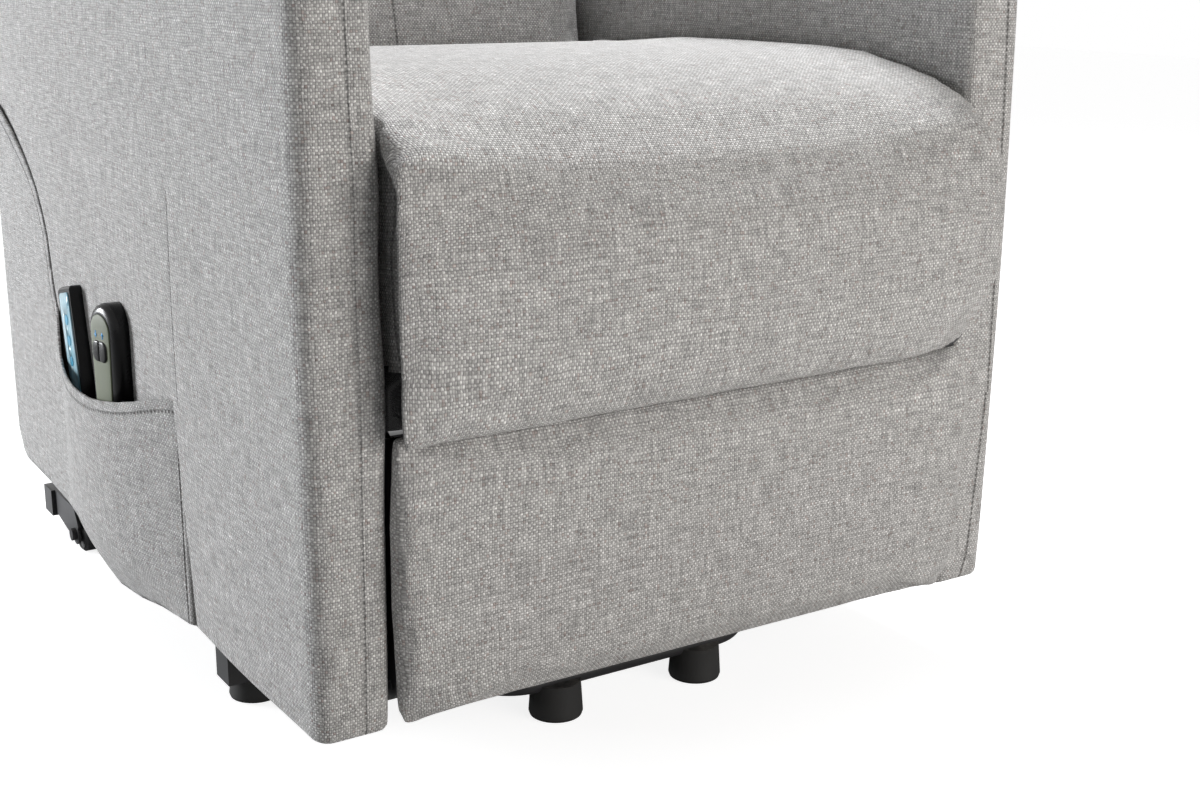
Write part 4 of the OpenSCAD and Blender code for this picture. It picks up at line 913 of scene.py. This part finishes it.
for name, sign in (("left", -1), ("right", 1)):
    form = flat_form(0.0, bag_foot + pocket_hem)
    cut_rows(form, 1, front + mouth_a, front + arm_deep, 0.009)
    cut_rows(form, 2, 0.053, 0.49, 0.009)
    # the pocket's front seam and the hem along its mouth are darkened as painted shade, the hem standing for
    # the shadow line under its edge
    pocket_cloth = cloth(name + " pocket cloth", seams=((0, mouth_a + 0.009, 0.0, 0.0, 0.3),), hems=(0.010,),
                         seam_shade=0.6)
    panel = as_piece(name + "_pocket_panel", form, pocket_cloth, "seat_body")
    lay_cloth(panel, 2, [(0.0, front), (0.0, front + 1.0)])
    mark_edge(panel, (1, 2), [(front + y, z) for y, z in pocket_hem])
    spots = points_of(panel)
    back_by = spots[:, 1] - front
    flat_at = arm_outer + 0.0026
    off_middle = np.clip(back_by - middle, -mouth_half, mouth_half)
    bowed = arm_outer + bulge - bow + np.sqrt(bow ** 2 - off_middle ** 2) - 0.0012
    bowed = np.maximum(bowed, flat_at + 0.0022 * (back_by > middle))
    # the bag's foot slopes in under the bow
    foot_at = along_line(back_by, bag_foot)
    up = np.clip((spots[:, 2] - foot_at) / (0.125 - foot_at), 0, 1)
    spots[:, 0] = flat_at + (bowed - flat_at) * (1 - (1 - up) ** 1.5)
    # the cloth sinks in a little at two places along the bag
    sag = np.sin((back_by - mouth_a) / (mouth_b - mouth_a) * math.pi * 3) * bump_at(spots[:, 2], 0.17, 0.07)
    spots[:, 0] -= 0.0022 * np.maximum(0, sag) * step_at(spots[:, 0], arm_outer + 0.004, arm_outer + 0.012)
    # it is sewn down into the arm along its front
    spots[:, 0] -= 0.0021 * step_at(back_by, mouth_a + 0.006, mouth_a)
    put_sided(panel, spots, sign)
    wall = panel.modifiers.new("cloth thickness", "SOLIDIFY")
    wall.thickness = 0.0022
    wall.offset = -1.0
    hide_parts("pocket_" + name)

# ---------------------------------------------------------------------------------------------------
# Back cushions: three stuffed pillows that lean with the back, one over the other, each in its own
# sewn cover. The lowest has a seam down it, a little to one side of the middle.
# ---------------------------------------------------------------------------------------------------
back_lean = math.radians(11.0)
back_origin = (0, front + 0.575, 0.548)
back_at = Matrix.Translation(back_origin) @ Matrix.Rotation(-back_lean, 4, "X")
back_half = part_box("lower_back_cushion")[1][0]
pillow_front, pillow_deep = 0.004, 0.126
for name, low, high, radius, reach, seams in (
        ("lower_back_cushion", -0.098, 0.1337, 0.014, 0.012, ((0, 0.017, 0.0, -10, 10),)),
        ("middle_back_cushion", 0.134, 0.3297, 0.030, 0.014, ()),
        ("headrest_cushion", 0.330, 0.530, 0.034, 0.014, ())):
    form = solid_box((2 * back_half - 0.004, pillow_deep - 0.010, high - low - 0.006),
                     (0, pillow_deep / 2 + pillow_front, (high + low) / 2))
    round_edges(form, [e for e in form.edges if min(v.co.y for v in e.verts) < 0.02], radius, 6)
    pillow_cloth = cloth(name.replace("_", " ") + " cloth", seams=seams)
    pillow = as_piece(name + "_cover", form, pillow_cloth, "back")
    rest = stuff(pillow, 0.0075, reach)
    lay_cloth(pillow, 0, ring((pillow_front, low), (pillow_deep, high)), rest)
    spots = points_of(pillow)
    spots[:, 0] = np.clip(spots[:, 0], -back_half - 0.003, back_half + 0.003)
    spots[:, 1] = np.clip(spots[:, 1], -0.010, pillow_deep - 0.0002)
    spots[:, 2] = np.clip(spots[:, 2], low + 0.0002, high - 0.0002)
    put_points(pillow, spots)
    even_out(pillow, 1)
    pillow.data.transform(back_at)
    fine_skin(pillow)
    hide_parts(name)

# ---------------------------------------------------------------------------------------------------
# Rear shell: the padded outside of the back, a tray of thin foam and cloth pulled over the timber
# frame. Its back panel crowns a little, and the cloth is wrapped round to the sides in one piece.
# ---------------------------------------------------------------------------------------------------
shell_deep = (0.1263, 0.204)
shell_tall = (-0.172, 0.530)
shell_wall = 0.008
form = solid_box((2 * back_half, shell_deep[1] - shell_deep[0], shell_tall[1] - shell_tall[0]),
                 (0, sum(shell_deep) / 2, sum(shell_tall) / 2))
round_edges(form, corner_edges(form, lambda at: at.y > 0.15), 0.016, 6)
open_side = min(form.faces, key=lambda f: f.calc_center_median().y)
bmesh.ops.inset_region(form, faces=[open_side], thickness=shell_wall, use_even_offset=True)
draw_out(form, [open_side], (0, shell_deep[1] - shell_deep[0] - shell_wall, 0))
if open_side.is_valid:
    bmesh.ops.delete(form, geom=[open_side], context="FACES_ONLY")
bmesh.ops.recalc_face_normals(form, faces=form.faces[:])
cut_rows(form, 0, -back_half, back_half, 0.02)
cut_rows(form, 2, *shell_tall, 0.02)
shell = as_piece("back_shell_cover", form, cloth("back shell cloth"), "back")
lay_cloth(shell, 2, ring((-back_half, shell_deep[0]), (back_half, shell_deep[1])))
spots = points_of(shell)
shell_middle, shell_half = sum(shell_tall) / 2, (shell_tall[1] - shell_tall[0]) / 2
crown = crown_at(spots[:, 0], 0.0, back_half) * crown_at(spots[:, 2], shell_middle, shell_half)
spots[:, 1] += 0.006 * crown ** 0.6 * step_at(spots[:, 1], shell_deep[1] - 0.004, shell_deep[1])
put_points(shell, spots)
shell.data.transform(back_at)
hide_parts("back_shell")

# ---------------------------------------------------------------------------------------------------
# Rear panel: a board in plain grey lining cloth that closes the body between the arms, stapled along
# its edges to the arm boards.
# ---------------------------------------------------------------------------------------------------
panel_low, panel_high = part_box("rear_valance")
form = solid_box(Vector(panel_high) - Vector(panel_low), (Vector(panel_high) + Vector(panel_low)) / 2)
soften(form, 0.004, 3)
cut_rows(form, 0, panel_low[0], panel_high[0], 0.02)
cut_rows(form, 2, panel_low[2], panel_high[2], 0.02)
lining = cloth("plain lining cloth", Pitch=0.0012, Warp=(0.36, 0.355, 0.35, 1), Weft=(0.4, 0.395, 0.39, 1))
panel = as_piece("rear_panel_cover", form, lining, "seat_body")
lay_cloth(panel, 0, ring(panel_low[1:], panel_high[1:]))
spots = points_of(panel)
panel_middle, panel_half = (panel_low[2] + panel_high[2]) / 2, (panel_high[2] - panel_low[2]) / 2
crown = crown_at(spots[:, 0], 0.0, panel_high[0]) * crown_at(spots[:, 2], panel_middle, panel_half)
spots[:, 1] += 0.003 * crown * step_at(spots[:, 1], panel_high[1] - 0.003, panel_high[1])
put_points(panel, spots)
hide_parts("rear_valance")

# ---------------------------------------------------------------------------------------------------
# Lift handset: a glossy black moulded shell with an arch-topped grey-green face plate that frames the
# rocker key. The key has two domed pads, with a small blue arrow printed above each.
# ---------------------------------------------------------------------------------------------------
shell_black = coated("handset shell", (0.004, 0.004, 0.0045, 1), 0.24, 1600.0, 0.00001,
                     (0.02, 0.02, 0.02, 1), wear=0.15, dust=0.0, mirror=0.2)
grip_low, grip_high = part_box("lift_handset")
key_low, key_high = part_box("lift_rocker")
grip_mid = (grip_low[1] + grip_high[1]) / 2
grip_wide = (grip_high[1] - grip_low[1]) / 2
key_mid = (key_low[2] + key_high[2]) / 2


def arch(half_low, half, low, high, turns=12):
    """The outline of a face with a round head and slightly narrower foot."""
    head = [(half * math.cos(math.pi * i / turns), high - half + half * math.sin(math.pi * i / turns))
            for i in range(turns + 1)]
    return [(-half_low, low), (half_low, low)] + head


def face_at(y):
    """The x of the handset's face, which is turned a little to the front."""
    return grip_low[0] + 0.0098 * (0.5 - (y - grip_mid) / (2 * grip_wide))


def lay_on_face(form, lift):
    """Moves a form from the plane x = 0 onto the handset's turned face."""
    for vert in form.verts:
        vert.co.x += face_at(vert.co.y) + lift


form = flat_form(grip_high[0], arch(grip_wide - 0.001, grip_wide, grip_low[2], grip_high[2]), grip_mid)
draw_out(form, form.faces[:], (grip_low[0] - grip_high[0], 0, 0))
round_edges(form, corner_edges(form, lambda at: at.x < grip_low[0] + 0.001), 0.0085, 6)
round_edges(form, corner_edges(form, lambda at: at.x > grip_high[0] - 0.001), 0.003, 3)
for vert in form.verts:
    share = (vert.co.x - grip_high[0]) / (grip_low[0] - grip_high[0])
    vert.co.x = grip_high[0] + share * (face_at(vert.co.y) - grip_high[0])
grip = as_piece("lift_handset_shell", form, shell_black, "lift_handset")
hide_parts("lift_handset")

sage = coated("grey-green face plate", (0.120, 0.138, 0.088, 1), 0.62, 1400.0, 0.00002,
              (0.16, 0.18, 0.13, 1), wear=0.1, dust=0.0)
form = flat_form(0.0, arch(0.0125, 0.0160, grip_low[2] + 0.010, grip_high[2] - 0.0095, 16), grip_mid)
draw_out(form, form.faces[:], (-0.0010, 0, 0))
outer = [f for f in form.faces if f.calc_center_median().x < -0.0009]
for step, lift in ((0.0012, -0.0003), (0.0035, -0.0004), (0.0040, -0.0002)):
    bmesh.ops.inset_region(form, faces=outer, thickness=step, depth=0.0, use_even_offset=True)
    for vert in {v for f in outer for v in f.verts}:
        vert.co.x += lift
lay_on_face(form, 0.0004)
as_piece("lift_handset_face_plate", form, sage, "lift_handset")

key_black = coated("key cap", (0.005, 0.005, 0.0055, 1), 0.28, 1600.0, 0.00001,
                   (0.02, 0.02, 0.02, 1), wear=0.2, dust=0.0, mirror=0.25)
key_tall = 0.78 * (key_high[2] - key_low[2])
key_deep, key_wide, key_off = 0.0046, 0.0112, 0.0058
form = bmesh.new()
for hand in (-1, 1):
    pad = bmesh.ops.create_cube(form, size=1.0)["verts"]
    bmesh.ops.scale(form, vec=(key_deep, key_wide, key_tall), verts=pad)
    bmesh.ops.translate(form, vec=(0, grip_mid + hand * key_off, key_mid), verts=pad)
round_edges(form, [e for e in form.edges if lengthwise(e, 0) > 0.004
                   and abs(e.verts[0].co.y - grip_mid) > 0.009], 0.0060, 5)
round_edges(form, [e for e in form.edges if e.calc_face_angle(0) > 0.5], 0.0014, 3)
lay_on_face(form, -0.0006)
key = as_piece("lift_handset_key_pads", form, key_black, "lift_rocker")
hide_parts("lift_rocker")

print_blue = coated("blue print", (0.03, 0.26, 0.55, 1), 0.45, 1400.0, 0.00001,
                    (0.05, 0.3, 0.6, 1), wear=0.1, dust=0.0)
arrow_tall, arrow_half, stem_half, neck = 0.0066, 0.0026, 0.0009, 0.0030
arrow = [(-stem_half, 0), (stem_half, 0), (stem_half, neck), (arrow_half, neck), (0, arrow_tall),
         (-arrow_half, neck), (-stem_half, neck)]
arrow_foot = key_mid + key_tall / 2 + 0.0022
form = bmesh.new()
for hand in (-1, 1):
    # one points up and the other down
    rises = [(y, z if hand < 0 else arrow_tall - z) for y, z in arrow]
    form.faces.new([form.verts.new((0, grip_mid + hand * key_off + y, arrow_foot + z)) for y, z in rises])
draw_out(form, form.faces[:], (-0.0003, 0, 0))
lay_on_face(form, -0.0013)
as_piece("lift_handset_arrows", form, print_blue, "lift_handset")

# ---------------------------------------------------------------------------------------------------
# Massage handset: a slim black remote with a glossy pale blue front panel. The panel is a clear
# printed sheet glued on, with three round holes for the domed keys.
# ---------------------------------------------------------------------------------------------------
dress(shell_black, "massage_handset")
remote_lean = math.radians(12.0)
remote_at = Matrix.Translation((grip_high[0], front + 0.514, 0.190)) @ Matrix.Rotation(-remote_lean, 4, "X")
remote_face, remote_mid = -0.0150, 0.073
quarter = math.radians(90)
form = bmesh.new()
bmesh.ops.create_grid(form, x_segments=1, y_segments=1, size=0.5)
bmesh.ops.scale(form, vec=(0.0330, 0.1340, 1), verts=form.verts)
bmesh.ops.bevel(form, geom=form.verts[:], offset=0.006, segments=5, profile=0.5, affect="VERTICES",
                material=-1)
bmesh.ops.delete(form, geom=form.faces[:], context="FACES_ONLY")
for up in (0.074, 0.094, 0.114):
    key_place = Matrix.Translation((0, up - remote_mid, 0))
    bmesh.ops.create_circle(form, segments=32, radius=0.0053, matrix=key_place)
bmesh.ops.triangle_fill(form, use_beauty=True, use_dissolve=False, edges=form.edges[:], normal=(0, 0, 1))
stand_up = Matrix.Rotation(quarter, 4, "Z") @ Matrix.Rotation(quarter, 4, "X")
stand_up = Matrix.Translation((remote_face, 0, remote_mid)) @ stand_up
bmesh.ops.transform(form, matrix=stand_up, verts=form.verts)
draw_out(form, form.faces[:], (-0.0006, 0, 0))
gloss, tree, shader = new_finish("pale blue glossy panel", Roughness=0.3, Coat_Weight=0.25,
                                 Coat_Roughness=0.1)
squeezed = add(tree, "Mapping", {0: add(tree, "TexCoord").outputs["Object"], 3: (1.0, 1.0, 0.35)}).outputs[0]
band = noise(tree, squeezed, 60.0, 3.0)
tree.links.new(tint(tree, between(tree, band, 0.35, 0.65), (0.2, 0.42, 0.52, 1), (0.46, 0.62, 0.68, 1)),
               shader.inputs["Base Color"])
sheet = as_piece("massage_handset_panel", form, gloss, "massage_handset")
sheet.data.transform(remote_at)
blue = coated("blue key", (0.05, 0.32, 0.5, 1), 0.3, 1400.0, 0.00002, (0.3, 0.5, 0.6, 1), wear=0.2, dust=0.0)
dress(blue, "massage_button_top", "massage_button_middle", "massage_button_bottom")
